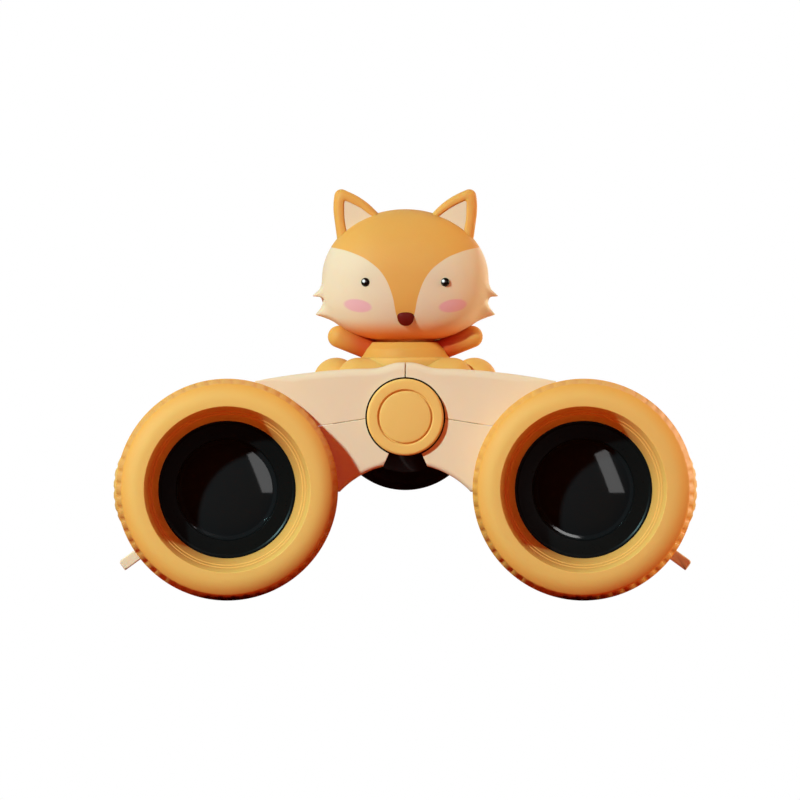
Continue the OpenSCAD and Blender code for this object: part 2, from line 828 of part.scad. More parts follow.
module focus_carriage() {
    bore = screw_r + fit_gap;
    color(black) turned([
        [bore, y_carriage], [flange_r, y_carriage], [flange_r, y_carriage + flange_t],
        [carriage_r, y_carriage + flange_t], [carriage_r, y_carriage_end - flange_t],
        [flange_r, y_carriage_end - flange_t], [flange_r, y_carriage_end], [bore, y_carriage_end]
    ], 0, hinge_z);
}

// Eyepieces

module eyepiece_arm(y0) {
    color(beige) plate(y0, y0 + eye_arm_t) difference() {
        union() {
            translate([0, hinge_z]) circle(r = carriage_r + eye_arm_wall);
            translate([barrel_x, barrel_z]) circle(r = tube_r + eye_arm_wall);
            translate([0, hinge_z]) rotate(arm_angle) translate([0, -eye_arm_h / 2]) square([arm_len, eye_arm_h]);
        }
        translate([0, hinge_z]) circle(r = carriage_r + fit_gap);
        translate([barrel_x, barrel_z]) circle(r = tube_r + fit_gap);
    }
}

ocular_seat = 2;
y_ocular = y_tube_end - ocular_t - face_gap;

// Left tube: holds its lens, and carries a collar where the right one has its dioptre ring
module left_eyepiece_tube() {
    stop_r = tube_in - ocular_seat;
    y_in = y_tail - tube_inside;
    chamfer = 1;
    color(black) turned([
        [tube_in, y_in], [tube_r, y_in], [tube_r, y_dioptre],
        [dioptre_r - chamfer, y_dioptre], [dioptre_r, y_dioptre + chamfer],
        [dioptre_r, y_cup - chamfer], [dioptre_r - chamfer, y_cup],
        [tube_r, y_cup], [tube_r, y_tube_end], [tube_in, y_tube_end], [tube_in, y_ocular],
        [stop_r, y_ocular], [stop_r, y_ocular - ocular_seat], [tube_in, y_ocular - ocular_seat]
    ], barrel_x, barrel_z);
}

// Right tube: plain, with the ocular cell sliding in it
module right_eyepiece_tube() {
    y_in = y_tail - tube_inside;
    y_out = y_dioptre + dioptre_len - ocular_room;
    color(black) turned([
        [tube_in, y_in], [tube_r, y_in], [tube_r, y_out], [tube_in, y_out]
    ], barrel_x, barrel_z);
}

module right_dioptre_ring() {
    bevel = 0.8;
    groove_r = 0.8;
    groove_depth = 0.4;
    y1 = y_dioptre + dioptre_len;
    color(orange) translate([barrel_x, 0, barrel_z]) difference() {
        intersection() {
            plate(y_dioptre, y1) grooved_disc(dioptre_r, dioptre_grooves, groove_r, groove_depth);
            turned([
                [0, y_dioptre], [dioptre_r - bevel, y_dioptre], [dioptre_r, y_dioptre + bevel],
                [dioptre_r, y1 - bevel], [dioptre_r - bevel, y1], [0, y1]
            ]);
        }
        rod(tube_r + fit_gap, y_dioptre - cut, y1 + cut);
    }
}

module right_ocular_cell() {
    stop_r = tube_in - ocular_seat;
    y_head = y_dioptre + dioptre_len + dioptre_travel / 2;
    sleeve_r = tube_in - fit_gap;
    sleeve_in = sleeve_r - 1.2;
    y_in = y_dioptre - dioptre_travel;
    color(black) turned([
        [sleeve_in, y_in], [sleeve_r, y_in], [sleeve_r, y_head], [tube_r, y_head], [tube_r, y_tube_end],
        [tube_in, y_tube_end], [tube_in, y_ocular], [stop_r, y_ocular],
        [stop_r, y_ocular - ocular_seat], [sleeve_in, y_ocular - ocular_seat]
    ], barrel_x, barrel_z);
}

// Lens hollowed on both faces
module ocular_lens() {
    r = tube_in - fit_gap;
    hollow_r = r - 1.4;
    dish = ocular_t * 0.28;
    faces = 6;
    y1 = y_ocular + ocular_t;
    color(glass) turned(concat(
        [for (i = [0:faces]) let (t = i / faces) [hollow_r * t, y_ocular + dish * (1 - t * t)]],
        [[r, y_ocular], [r, y1]],
        [for (i = [0:faces]) let (t = 1 - i / faces) [hollow_r * t, y1 - dish * (1 - t * t)]]
    ), barrel_x, barrel_z);
}

module eyecup() {
    socket_r = tube_r + fit_gap;
    flare = 1.4;
    lip_in = 0.8;
    rim_r = tube_r + cup_reach;
    waist_r = rim_r - flare;
    lip_r = tube_in - lip_in;
    lip_t = 1.4;
    color(orange) turned(concat(
        [
            [socket_r, y_cup], [waist_r, y_cup], [waist_r, y_cup + cup_socket / 2]
        ],
        arc(rim_r - cup_wall / 2, y_end - cup_wall / 2, cup_wall / 2, 0, 180, 8),
        [
            [lip_r, y_tube_end + lip_t], [lip_r, y_tube_end], [socket_r, y_tube_end]
        ]
    ), barrel_x, barrel_z);
}

// Fox figure

// Turned body: seat, torso and neck
module fox_core(gap) {
    belly = 0.9;
    bulge = 0.35;
    bulge_at = 0.6;
    shoulder_cut = 0.4;
    translate([0, y_fox, 0]) rotate_extrude() polygon(concat(
        [[0, seat_z], [hip_r - belly + gap, seat_z]],
        arc(hip_r - belly, seat_z + belly, belly + gap, -90, 0, 4),
        arc(hip_r - belly, hip_z - belly, belly + gap, 0, 80, 5),
        [[torso_r + gap, hip_z + gap], [(torso_r + shoulder_r) / 2 + bulge + gap, hip_z + torso_h * bulge_at]],
        [[shoulder_r + gap, shoulder_z - shoulder_cut], [shoulder_r - shoulder_cut, shoulder_z + gap]],
        [[neck_r, shoulder_z + gap], [neck_r, shoulder_z + neck_len], [0, shoulder_z + neck_len]]
    ));
}

module fox_body() {
    leg_z = hip_z - leg_r;
    leg_half = hip_r - leg_r - face_gap;
    color(orange) difference() {
        union() {
            fox_core(0);
            for (s = [-1, 1]) {
                ball_bar([s * leg_x, y_fox - leg_half, leg_z], [s * leg_x, y_fox + leg_half, leg_z], leg_r);
            }
        }
        translate([-far / 2, y_fox - far / 2, seat_z - far]) cube([far, far, far]);
        for (s = [-1, 1]) translate([s * fox_screw_x, y_fox, seat_z - cut])
            cylinder(r = shank_r + fit_gap, h = fox_screw_top + screw_spare - seat_z + cut);
    }
}

// Raised arm that meets the torso's side
module fox_arm() {
    inside = 1;
    forward = 4;
    lean = 2;
    reach = paw_x - shoulder_r + inside;
    root = [paw_x - reach, y_fox - forward, paw_z - reach * tan(paw_slope)];
    color(orange) difference() {
        ball_bar(root, [paw_x, y_fox - forward - lean, paw_z], paw_r);
        fox_core(fit_gap);
    }
}

// Head form: an ellipsoid that is fuller towards the jaw
module head_form() {
    around = 40;
    levels = 20;
    rings = [for (j = [1:levels - 1]) let (
        a = -90 + 180 * j / levels,
        power = a > 0 ? crown_power : jaw_power,
        s = pow(cos(a), 2 / power),
        h = a > 0 ? head_up * pow(sin(a), 2 / power) : -head_down * pow(-sin(a), 2 / power)
    ) [for (i = [0:around - 1]) let (b = 360 * i / around) [head_rx * s * cos(b), head_ry * s * sin(b), h]]];
    points = concat([[0, 0, -head_down]], [for (r = rings) each r], [[0, 0, head_up]]);
    last = len(points) - 1;
    top_start = 1 + (levels - 2) * around;
    sides = [for (j = [0:levels - 3], i = [0:around - 1]) let (
        a = 1 + j * around + i,
        b = 1 + j * around + (i + 1) % around
    ) each [[a, a + around, b + around], [a, b + around, b]]];
    foot = [for (i = [0:around - 1]) [0, 1 + i, 1 + (i + 1) % around]];
    crown = [for (i = [0:around - 1]) [last, top_start + (i + 1) % around, top_start + i]];
    translate([0, y_fox, head_z]) polyhedron(points, concat(foot, sides, crown));
}

// Rounded ear
module ear() {
    hull() {
        for (p = [ear_base_outer, ear_base_inner, ear_tip]) {
            translate([p[0], ear_y, p[1]]) sphere(r = ear_r, $fn = 24);
        }
    }
}

// Outline of the pale panel in an ear
module inlay_outline() {
    polygon([ear_tip + inlay_tip, ear_base_inner + inlay_inner, ear_base_outer + inlay_outer]);
}

// Cheek tuft: a short fur point that lies against the side of the head
module tuft(root, tip) {
    hull() {
        translate([head_rx - tuft_root_r + root[0], ear_y, head_z + root[1]]) sphere(r = tuft_root_r, $fn = 24);
        translate([head_rx + tip[0], ear_y, head_z + tip[1]]) sphere(r = tuft_tip_r, $fn = 16);
    }
}

module fox_head() {
    color(orange) difference() {
        union() {
            head_form();
            for (s = [-1, 1]) side(s) {
                ear();
                for (t = tufts) tuft(t[0], t[1]);
            }
        }
        translate([0, y_fox, shoulder_z - cut]) cylinder(r = neck_r + fit_gap, h = neck_len + face_gap + cut);
        for (s = [-1, 1]) side(s) plate(ear_front - cut, ear_front + inlay_t) inlay_outline();
        for (s = [-1, 1]) side(s) fox_eye(fit_gap);
        nose_bead(nose_r + fit_gap);
    }
}

module fox_ear_inlays() {
    color(beige) for (s = [-1, 1]) side(s) difference() {
        plate(ear_front + inlay_sink, ear_front + inlay_t) inlay_outline();
        head_form();
    }
}

// Bead eye on a short peg
module fox_eye(gap) {
    peg = 1.4;
    y0 = y_fox - face_depth(eye_x, eye_z);
    rod(eye_r + gap, y0, y0 + peg + gap, eye_x, eye_z);
    translate([eye_x, y0, eye_z]) sphere(r = eye_r + gap, $fn = 32);
}

module fox_eyes() {
    color(black) for (s = [-1, 1]) side(s) fox_eye(0);
}

module nose_bead(r) {
    proud = 0.3;
    translate([0, y_fox - face_depth(0, nose_z) - proud, nose_z]) sphere(r = r, $fn = 48);
}

module fox_nose() {
    color(brown) nose_bead(nose_r);
}

// Tail that rises close behind the torso
module fox_tail() {
    around = 16;
    steps = 12;
    root = [y_fox + torso_r - tail_in, hip_z + tail_up];
    start = 0.1;
    fullness = 0.7;
    rings = [for (j = [0:steps]) let (
        t = j / steps,
        r = tail_r * pow(sin(180 * (start + (1 - start) * t)), fullness) + tail_tip_r,
        y = root[0] + tail_back * sin(90 * t),
        z = root[1] + tail_lift * (1 - cos(90 * t)),
        slope = atan2(tail_lift * sin(90 * t), tail_back * cos(90 * t))
    ) [for (i = [0:around - 1]) let (b = 360 * i / around)
        [r * cos(b), y - r * sin(b) * sin(slope), z + r * sin(b) * cos(slope)]]];
    points = [for (r = rings) each r];
    sides = [for (j = [0:steps - 1], i = [0:around - 1]) let (
        a = j * around + i,
        b = j * around + (i + 1) % around
    ) each [[a, b, b + around], [a, b + around, a + around]]];
    ends = [[for (i = [around - 1:-1:0]) i], [for (i = [0:around - 1]) steps * around + i]];
    color(orange) difference() {
        polyhedron(points, concat(sides, ends));
        fox_core(fit_gap);
    }
}

hinge_spindle();
hinge_cap();
cap_disc();
hinge_washers();
thrust_washer();
centre_collar();
end_nut();
side(1) barrel();  // left_barrel
side(-1) barrel();  // right_barrel
side(1) arm_frame(true);  // left_arm_frame
side(-1) arm_frame(false);  // right_arm_frame
side(1) arm_cover();  // left_arm_cover
side(-1) arm_cover();  // right_arm_cover
side(1) arm_screws();  // left_arm_screws
side(-1) arm_screws();  // right_arm_screws
side(1) objective_ring();  // left_objective_ring
side(-1) objective_ring();  // right_objective_ring
side(1) bezel();  // left_bezel
side(-1) bezel();  // right_bezel
side(1) lens_retainer();  // left_lens_retainer
side(-1) lens_retainer();  // right_lens_retainer
side(1) objective_lens();  // left_objective_lens
side(-1) objective_lens();  // right_objective_lens
side(1) side_grip();  // left_side_grip
side(-1) side_grip();  // right_side_grip
focus_wheel();
focus_screw();
focus_carriage();
side(1) eyepiece_arm(y_eye_left);  // left_eyepiece_arm
side(-1) eyepiece_arm(y_eye_right);  // right_eyepiece_arm
side(1) left_eyepiece_tube();
side(-1) right_eyepiece_tube();
side(-1) right_dioptre_ring();
side(-1) right_ocular_cell();
side(1) ocular_lens();  // left_ocular_lens
side(-1) ocular_lens();  // right_ocular_lens
side(1) eyecup();  // left_eyecup
side(-1) eyecup();  // right_eyecup
fox_screws();
fox_body();
side(1) fox_arm();  // fox_left_arm
side(-1) fox_arm();  // fox_right_arm
fox_head();
fox_ear_inlays();
fox_eyes();
fox_nose();
fox_tail();
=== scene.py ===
import bmesh
import bpy
import math
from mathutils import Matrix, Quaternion, Vector


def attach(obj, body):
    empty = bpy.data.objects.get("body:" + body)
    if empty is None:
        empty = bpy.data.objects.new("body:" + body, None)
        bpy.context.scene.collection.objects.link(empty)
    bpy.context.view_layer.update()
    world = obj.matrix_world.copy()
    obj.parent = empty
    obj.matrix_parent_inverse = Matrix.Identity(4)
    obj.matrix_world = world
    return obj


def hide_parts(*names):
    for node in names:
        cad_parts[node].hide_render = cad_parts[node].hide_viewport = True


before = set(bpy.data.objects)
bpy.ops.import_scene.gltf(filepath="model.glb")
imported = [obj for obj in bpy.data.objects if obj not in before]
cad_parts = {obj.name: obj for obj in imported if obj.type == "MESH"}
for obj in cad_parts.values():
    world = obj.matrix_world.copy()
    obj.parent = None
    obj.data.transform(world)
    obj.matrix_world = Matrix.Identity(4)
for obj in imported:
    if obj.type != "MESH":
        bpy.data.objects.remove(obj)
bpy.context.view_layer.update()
mm = 0.001
barrelX, barrelZ, hingeZ = 35.65, 22.2, 36.7  # axes of the barrels and of the hinge
yFront, yBarrel, yCollar, yRearHub, yHubEnd = -49.1, -39.1, -33.1, -12.3, -4.3  # stations from front to back
yWheel, yWheelEnd, yTail, yDioptre, yCup, yTubeEnd, yEnd = -3.4, 9.3, 10.6, 24.6, 37.1, 42.1, 49.1
foxY, headZ = -22.7, 64.5  # middle of the fox's head
sides = (("left", 1), ("right", -1))


def toLinear(code):
    parts = [int(code[i:i + 2], 16) / 255 for i in (1, 3, 5)]
    return [c / 12.92 if c <= 0.04045 else ((c + 0.055) / 1.055) ** 2.4 for c in parts] + [1.0]


# each input is a value, a node's output, or a node, which stands for its first output
def addNode(tree, kind, inputs=None, **settings):
    node = tree.nodes.new(kind)
    for key, value in settings.items():
        setattr(node, key, value)
    for key, value in (inputs or {}).items():
        if isinstance(value, bpy.types.Node):
            value = value.outputs[0]
        if isinstance(value, bpy.types.NodeSocket):
            tree.links.new(value, node.inputs[key])
        else:
            node.inputs[key].default_value = value
    return node


def newMaterial(name):
    material = bpy.data.materials.new(name)
    material.use_nodes = True
    material.node_tree.nodes.clear()
    return material, material.node_tree


# Moulded finish: a soft body colour with slow cloudiness and a fine grain that breaks up the highlight
mouldedSettings = {"ior": 1.46, "roughSwing": 0.12, "bumpMm": 0.05}


def mouldedMaterial(name, settings, paint=None):
    c = {**mouldedSettings, **settings}
    material, tree = newMaterial(name)
    place = addNode(tree, "ShaderNodeTexCoord").outputs["Object"]
    cloudScale, grainScale = 1 / (c["cloudMm"] * mm), 1 / (c["grainMm"] * mm)
    cloud = addNode(tree, "ShaderNodeTexNoise", {"Vector": place, "Scale": cloudScale, "Detail": 3.0})
    grain = addNode(tree, "ShaderNodeTexNoise", {"Vector": place, "Scale": grainScale, "Detail": 2.0})
    base = toLinear(c["colour"])
    colour = paint(tree, place, base) if paint else base[:3]
    clouded = {0: cloud, 1: c["cloudDepth"], 2: 1 - c["cloudDepth"] / 2}
    shade = addNode(tree, "ShaderNodeMath", clouded, operation="MULTIPLY_ADD")
    tinted = addNode(tree, "ShaderNodeVectorMath", {0: colour, "Scale": shade}, operation="SCALE")
    uneven = {0: grain, 1: c["roughSwing"], 2: c["roughness"] - c["roughSwing"] / 2}
    rough = addNode(tree, "ShaderNodeMath", uneven, operation="MULTIPLY_ADD")
    pitted = {"Height": grain, "Strength": c["grainDepth"], "Distance": c["bumpMm"] * mm}
    bump = addNode(tree, "ShaderNodeBump", pitted)
    shader = addNode(tree, "ShaderNodeBsdfPrincipled", {
        "Base Color": tinted, "Roughness": rough, "Normal": bump, "IOR": c["ior"],
        "Specular IOR Level": c["specular"], "Subsurface Weight": c["depth"],
        "Subsurface Radius": c["depthColour"], "Subsurface Scale": c["depthMm"] * mm})
    addNode(tree, "ShaderNodeOutputMaterial", {"Surface": shader})
    return material


# Gloss finish: dark lacquer, glass or plated metal with a clear reflection
def glossMaterial(name, settings, paint=None):
    c = settings
    material, tree = newMaterial(name)
    place = addNode(tree, "ShaderNodeTexCoord").outputs["Object"]
    waveScale = 1 / (c["waveMm"] * mm)
    wave = addNode(tree, "ShaderNodeTexNoise", {"Vector": place, "Scale": waveScale, "Detail": 1.0})
    uneven = {0: wave, 1: 0.4 * c["roughness"], 2: 0.8 * c["roughness"]}  # a fifth more or less
    rough = addNode(tree, "ShaderNodeMath", uneven, operation="MULTIPLY_ADD")
    base = toLinear(c["colour"])
    inputs = {"Base Color": paint(tree, place, base) if paint else base, "Roughness": rough}
    inputs.update({"IOR": c["ior"]} if "ior" in c else {"Metallic": 1.0})  # a metal keeps the default IOR
    shader = addNode(tree, "ShaderNodeBsdfPrincipled", inputs)
    addNode(tree, "ShaderNodeOutputMaterial", {"Surface": shader})
    return material


softAbs = {"cloudMm": 8, "cloudDepth": 0.04, "grainMm": 0.28, "grainDepth": 0.22, "roughness": 0.6,
           "specular": 0.25, "depth": 0.15, "depthColour": (1.0, 0.4, 0.2), "depthMm": 0.6}
paintedAbs = {**softAbs, "depth": 0.3, "depthMm": 1.0}
pressedSilicone = {**softAbs, "cloudMm": 7, "cloudDepth": 0.05, "grainMm": 0.26, "grainDepth": 0.3,
                   "specular": 0.3}
# injection moulded ABS, warm beige: the calm pale body of the bridge and barrels
beigeAbs = mouldedMaterial("beigeAbsInjectionMoulded", {
    **softAbs, "colour": "#f8d4b2", "cloudMm": 9, "cloudDepth": 0.03, "grainMm": 0.3, "grainDepth": 0.18,
    "depth": 0.2, "depthMm": 0.8})
# pressed silicone, soft orange: velvety grips and eyecups that glow where the light goes in
orangeSilicone = mouldedMaterial("orangeSiliconePressMoulded", {**pressedSilicone, "colour": "#fbbd5f"})
# injection moulded ABS, orange: the hinge cap, a little crisper than the silicone
orangeAbs = mouldedMaterial("orangeAbsInjectionMoulded", {**softAbs, "colour": "#fdbe66"})
# injection moulded ABS, amber: the cap's orange made a little deeper as painted shade for the recessed
# funnels, which catch the light in fine steps
funnelShadedAbs = mouldedMaterial("funnelAbsInjectionMoulded", {**softAbs, "colour": "#f6b059", "grainDepth": 0.2})
# injection moulded ABS, black: dead dark wheel and tubes with a weak sheen
blackAbs = mouldedMaterial("blackAbsInjectionMoulded", {
    **softAbs, "colour": "#24110e", "cloudMm": 6, "cloudDepth": 0.1, "grainMm": 0.3, "grainDepth": 0.25,
    "roughness": 0.5, "specular": 0.2, "depth": 0.0, "depthMm": 0.5})
# spray painted retainer, black: a dark ring that shows only its edges
blackRing = glossMaterial("blackRetainerSprayPainted", {
    "colour": "#100f0f", "waveMm": 0.5, "roughness": 0.3, "ior": 1.17})
# ground glass over a black bore: near black, with sharp reflections
lensGlass = glossMaterial("lensGlassGroundAndCoated", {
    "colour": "#1b1a1b", "waveMm": 12, "roughness": 0.05, "ior": 1.25})
# turned steel, zinc plated: the few fasteners and the spindle
platedSteel = glossMaterial("steelTurnedZincPlated", {"colour": "#b9bcc0", "waveMm": 0.8, "roughness": 0.3})


def shadeByAngle(mesh, degrees):
    made = bmesh.new()
    made.from_mesh(mesh)
    bmesh.ops.recalc_face_normals(made, faces=made.faces)
    for face in made.faces:
        face.smooth = True
    for edge in made.edges:
        edge.smooth = not (len(edge.link_faces) == 2 and edge.calc_face_angle(0.0) > math.radians(degrees))
    made.to_mesh(mesh)
    made.free()


def makePiece(name, points, faces, sharp=38):
    mesh = bpy.data.meshes.new(name)
    mesh.from_pydata([Vector(p) * mm for p in points], [], faces)
    mesh.update()
    shadeByAngle(mesh, sharp)
    piece = bpy.data.objects.new(name, mesh)
    bpy.context.scene.collection.objects.link(piece)
    return piece


# a skin over rows of points, each row a loop or a single point
def skinned(name, rows, sharp=38, closed=False, capped=False):
    points, rings = [], []
    for row in rows:
        rings.append(range(len(points), len(points) + len(row)))
        points += row
    faces = [tuple(rings[0]), tuple(reversed(rings[-1]))] if capped else []
    for low, high in list(zip(rings, rings[1:])) + ([(rings[-1], rings[0])] if closed else []):
        count = max(len(low), len(high))
        for a in range(count if count > 1 else 0):
            b = (a + 1) % count
            if len(low) == 1:
                faces.append((low[0], high[b], high[a]))
            elif len(high) == 1:
                faces.append((low[a], low[b], high[0]))
            else:
                faces.append((low[a], low[b], high[b], high[a]))
    return makePiece(name, points, faces, sharp)


def circle(turns):
    return [2 * math.pi * k / turns for k in range(turns)]


def between(start, stop, parts):
    return [start + (stop - start) * k / parts for k in range(parts + 1)]


def joined(name, pieces):
    bpy.ops.object.select_all(action="DESELECT")
    for piece in pieces:
        piece.select_set(True)
    bpy.context.view_layer.objects.active = pieces[0]
    bpy.ops.object.join()
    pieces[0].name = name
    pieces[0].data.name = name
    return pieces[0]


def carved(piece, cutters, sharp=38):
    for i, cutter in enumerate(cutters):
        cut = piece.modifiers.new(f"cut{i}", "BOOLEAN")
        cut.operation, cut.solver, cut.object = "DIFFERENCE", "EXACT", cutter
    graph = bpy.context.evaluated_depsgraph_get()
    mesh = bpy.data.meshes.new_from_object(piece.evaluated_get(graph))
    piece.modifiers.clear()
    piece.data = mesh
    shadeByAngle(mesh, sharp)
    for cutter in cutters:
        bpy.data.objects.remove(cutter)
    return piece


def settle(piece, body, material, slotName, *nodes):
    piece.data.materials.clear()
    piece.data.materials.append(material)
    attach(piece, body)
    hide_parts(*nodes)


# a line of corners (a, b, radius), each turned into an arc
def filleted(corners, steps=5, closed=True):
    made, count = [], len(corners)
    for i, (a, b, radius) in enumerate(corners):
        here = Vector((a, b))
        if radius <= 0 or (not closed and i in (0, count - 1)):
            made.append(here)
            continue
        back = Vector(corners[i - 1][:2]) - here
        ahead = Vector(corners[(i + 1) % count][:2]) - here
        half = back.angle(ahead) / 2
        room = 0.48 * min(back.length, ahead.length)  # leaves the next arc its half of the edge
        reach = min(radius / math.tan(half), room)
        bend = reach * math.tan(half)
        back.normalize()
        ahead.normalize()
        centre = here + (back + ahead).normalized() * (bend / math.sin(half))
        start, stop = here + back * reach - centre, here + ahead * reach - centre
        first = math.atan2(start.y, start.x)
        turn = (math.atan2(stop.y, stop.x) - first + math.pi) % (2 * math.pi) - math.pi
        angles = [first + turn * k / steps for k in range(steps + 1)]
        made += [centre + bend * Vector((math.cos(angle), math.sin(angle))) for angle in angles]
    return made


# turned about Y: the profile is (radius, y), and shape may cut the radius back at an angle
def lathe(name, profile, x=0.0, z=hingeZ, turns=160, angles=None, shape=None, closed=True, sharp=38):
    angles = angles or circle(turns)
    rows = []
    for r, y in profile:
        if r < 1e-6:
            rows.append([(x, y, z)])
            continue
        reaches = [(a, shape(r, y, a) if shape else r) for a in angles]
        rows.append([(x + s * math.cos(a), y, z + s * math.sin(a)) for a, s in reaches])
    return skinned(name, rows, sharp, closed)


# turned about Z: the profile is (radius, z)
def spun(name, profile, x, y, turns=96):
    rows = []
    for r, z in profile:
        around = [(x + r * math.cos(a), y + r * math.sin(a), z) for a in circle(turns)]
        rows.append([(x, y, z)] if r < 1e-6 else around)
    return skinned(name, rows, 50)


def flutedAngles(count, chord, radius):
    pitch = 2 * math.pi / count
    marks = [-1.0, -0.8, -0.45, 0.0, 0.45, 0.8, 1.0]  # across one groove
    angles = []
    for i in range(count):
        angles += [pitch * (i + 0.5) + m * chord / radius for m in marks]
        angles.append(pitch * (i + 1))
    return angles


def smoothStep(low, high, value):
    t = max(0.0, min(1.0, (value - low) / (high - low)))
    return t * t * (3 - 2 * t)


def fluteDepth(a, count, chord, radius):
    pitch = 2 * math.pi / count
    s = abs((a / pitch) % 1 - 0.5) * pitch * radius / chord
    return max(0.0, 1 - s * s)


# Grooves round a turned piece: they start and stop where the marks say, on radii from least outwards
def fluting(c, least, fadeIn, fadeOut):
    count, chord, outer = c["grooves"], c["chord"], c["outer"]

    def shape(r, y, a):
        if r < least:
            return r
        fade = smoothStep(*fadeIn, y) * (1 - smoothStep(*fadeOut, y))
        return r - c["depth"] * fade * fluteDepth(a, count, chord, outer)

    return {"shape": shape, "angles": flutedAngles(count, chord, outer)}


# A plate cut to an outline in the front view: points, each with the rim radius of the edge that starts there
def roundedPlate(name, outline, y0, y1, steps=4, sharp=38):
    count = len(outline)
    places = [p for p, r in outline]
    area = sum(a.x * b.y - b.x * a.y for a, b in zip(places, places[1:] + places[:1]))
    turn = 1 if area > 0 else -1
    normals = []
    for a, b in zip(places, places[1:] + places[:1]):
        along = (b - a).normalized()
        normals.append(Vector((along.y, -along.x)) * turn)
    insets, lifts = [], []
    for i in range(count):
        n1, n2, r1, r2 = normals[i - 1], normals[i], outline[i - 1][1], outline[i][1]
        crossed = n1.x * n2.y - n1.y * n2.x
        if abs(crossed) > 0.25:  # a real corner: keep each edge at its own distance
            insets.append(Vector(((r1 * n2.y - r2 * n1.y) / crossed, (n1.x * r2 - n2.x * r1) / crossed)))
        else:
            insets.append((n1 + n2).normalized() * (r1 + r2) / 2)
        lifts.append(max(r1, r2))

    def loop(share, lift, fromY, sign):
        spots = [q - v * share for q, v in zip(places, insets)]
        return [(spot.x, fromY + sign * lift * r, spot.y) for spot, r in zip(spots, lifts)]

    support = 1.04  # an extra loop that keeps the flat faces flat
    rows = [loop(support, 0, y0, 1)]
    for sign, fromY, order in ((1, y0, range(steps + 1)), (-1, y1, range(steps, -1, -1))):
        for k in order:
            a = math.pi / 2 * k / steps
            rows.append(loop(1 - math.sin(a), 1 - math.cos(a), fromY, sign))
    rows.append(loop(support, 0, y1, -1))
    return skinned(name, rows, sharp, capped=True)


def edged(points, radius, closed=False, longest=1.2):
    made = []
    for a, b in zip(points, points[1:] + points[:1] if closed else points[1:]):
        parts = max(1, int((b - a).length / longest))
        for k in range(parts):
            spot = a.lerp(b, k / parts)
            made.append((spot, radius(spot) if callable(radius) else radius))
    return made


def rodCutter(r, y0, y1, x, z, turns=96):
    return lathe("cutter", [(0, y0), (r, y0), (r, y1), (0, y1)], x, z, turns, closed=False)


def boxCutter(low, high):
    corners = [(x, y, z) for x in (low[0], high[0]) for y in (low[1], high[1]) for z in (low[2], high[2])]
    faces = [(0, 1, 3, 2), (4, 6, 7, 5), (0, 4, 5, 1), (2, 3, 7, 6), (0, 2, 6, 4), (1, 5, 7, 3)]
    return makePiece("cutter", corners, faces)


print("helpers and finishes ready")

# Soft objective rings: rolled front, shallow flutes that stop before a plain rear rim
ringSettings = {"seat": 16.05, "seatDepth": 2.0, "mouth": 16.6, "mouthDepth": 0.1, "lip": 16.72, "edge": 17.6,
                "sweep": 5.4, "turn": 20.9, "front": 21.3, "bend": 83.0, "outer": 22.2, "rim": 1.7,
                "bore": 18.85, "grooves": 56, "depth": 0.2, "chord": 0.62, "fadeIn": (1.2, 2.6),
                # the edge colour and its span paint shade towards the rounded edge
                "fadeOut": 0.5, "edgeShadeColour": "#f7a94b", "edgeFrom": 18.4, "edgeTo": 21.5}


def ringProfile(c):
    low, high = math.asin((c["turn"] - c["edge"]) / c["sweep"]), math.radians(c["bend"])
    shoulder = []
    for a in between(0, low, 12):
        shoulder.append((c["edge"] + c["sweep"] * math.sin(a), yFront + c["sweep"] * (1 - math.cos(a))))
    tight, yTurn = (c["front"] - c["turn"]) / (math.sin(high) - math.sin(low)), shoulder[-1][1]
    for a in between(low, high, 8)[1:]:
        reach, drop = math.sin(a) - math.sin(low), math.cos(low) - math.cos(a)
        shoulder.append((c["turn"] + tight * reach, yTurn + tight * drop))
    yBend, yRim, ySeat = shoulder[-1][1], yBarrel - c["rim"], yFront + c["seatDepth"]
    mouth = filleted([
        (c["seat"], ySeat, 0), (c["mouth"], yFront + c["mouthDepth"], 0.06), (c["lip"], yFront, 0.06),
        (c["edge"], yFront, 0)], 6, False)
    side = list(zip(between(c["front"], c["outer"], 16), between(yBend, yRim, 16)))
    rear = filleted([
        (c["outer"], yRim, 0), (c["outer"], yBarrel, 0.45), (c["bore"], yBarrel, 0.1),
        (c["bore"], ySeat, 0)], 4, False)
    return mouth[:-1] + shoulder + side[1:-1] + [(c["outer"] - 0.03, yRim - 0.1)] + rear


# painted shade: the orange deepens towards the fluted edge, where the rounded shoulder turns away from the
# light
def ringEdgeShade(tree, place, base):
    c = ringSettings
    near = addNode(tree, "ShaderNodeVectorMath", {0: place}, operation="ABSOLUTE")
    flat = addNode(tree, "ShaderNodeVectorMath", {0: near, 1: (1, 0, 1)}, operation="MULTIPLY")
    axis = (barrelX * mm, 0, barrelZ * mm)
    reach = addNode(tree, "ShaderNodeVectorMath", {0: flat, 1: axis}, operation="DISTANCE").outputs["Value"]
    span = {0: reach, 1: c["edgeFrom"] * mm, 2: c["edgeTo"] * mm}
    edge = addNode(tree, "ShaderNodeMapRange", span, interpolation_type="SMOOTHSTEP")
    deeper = {0: edge, 6: base, 7: toLinear(c["edgeShadeColour"])}
    return addNode(tree, "ShaderNodeMix", deeper, data_type="RGBA").outputs[2]


# pressed silicone, orange: velvety rings, with painted shade deepening the orange towards the rounded edge
ringSilicone = mouldedMaterial("ringSiliconePressMoulded", {**pressedSilicone, "colour": "#fbbd61"}, ringEdgeShade)


def makeRing(side, sign):
    c = ringSettings
    yRim = yBarrel - c["rim"]
    flutes = fluting(c, c["edge"], [yFront + v for v in c["fadeIn"]], (yRim - c["fadeOut"], yRim))
    ring = lathe(f"{side}SoftRing", ringProfile(c), sign * barrelX, barrelZ, sharp=60, **flutes)
    settle(ring, f"{side}_half", ringSilicone, "orange_silicone", f"{side}_objective_ring")


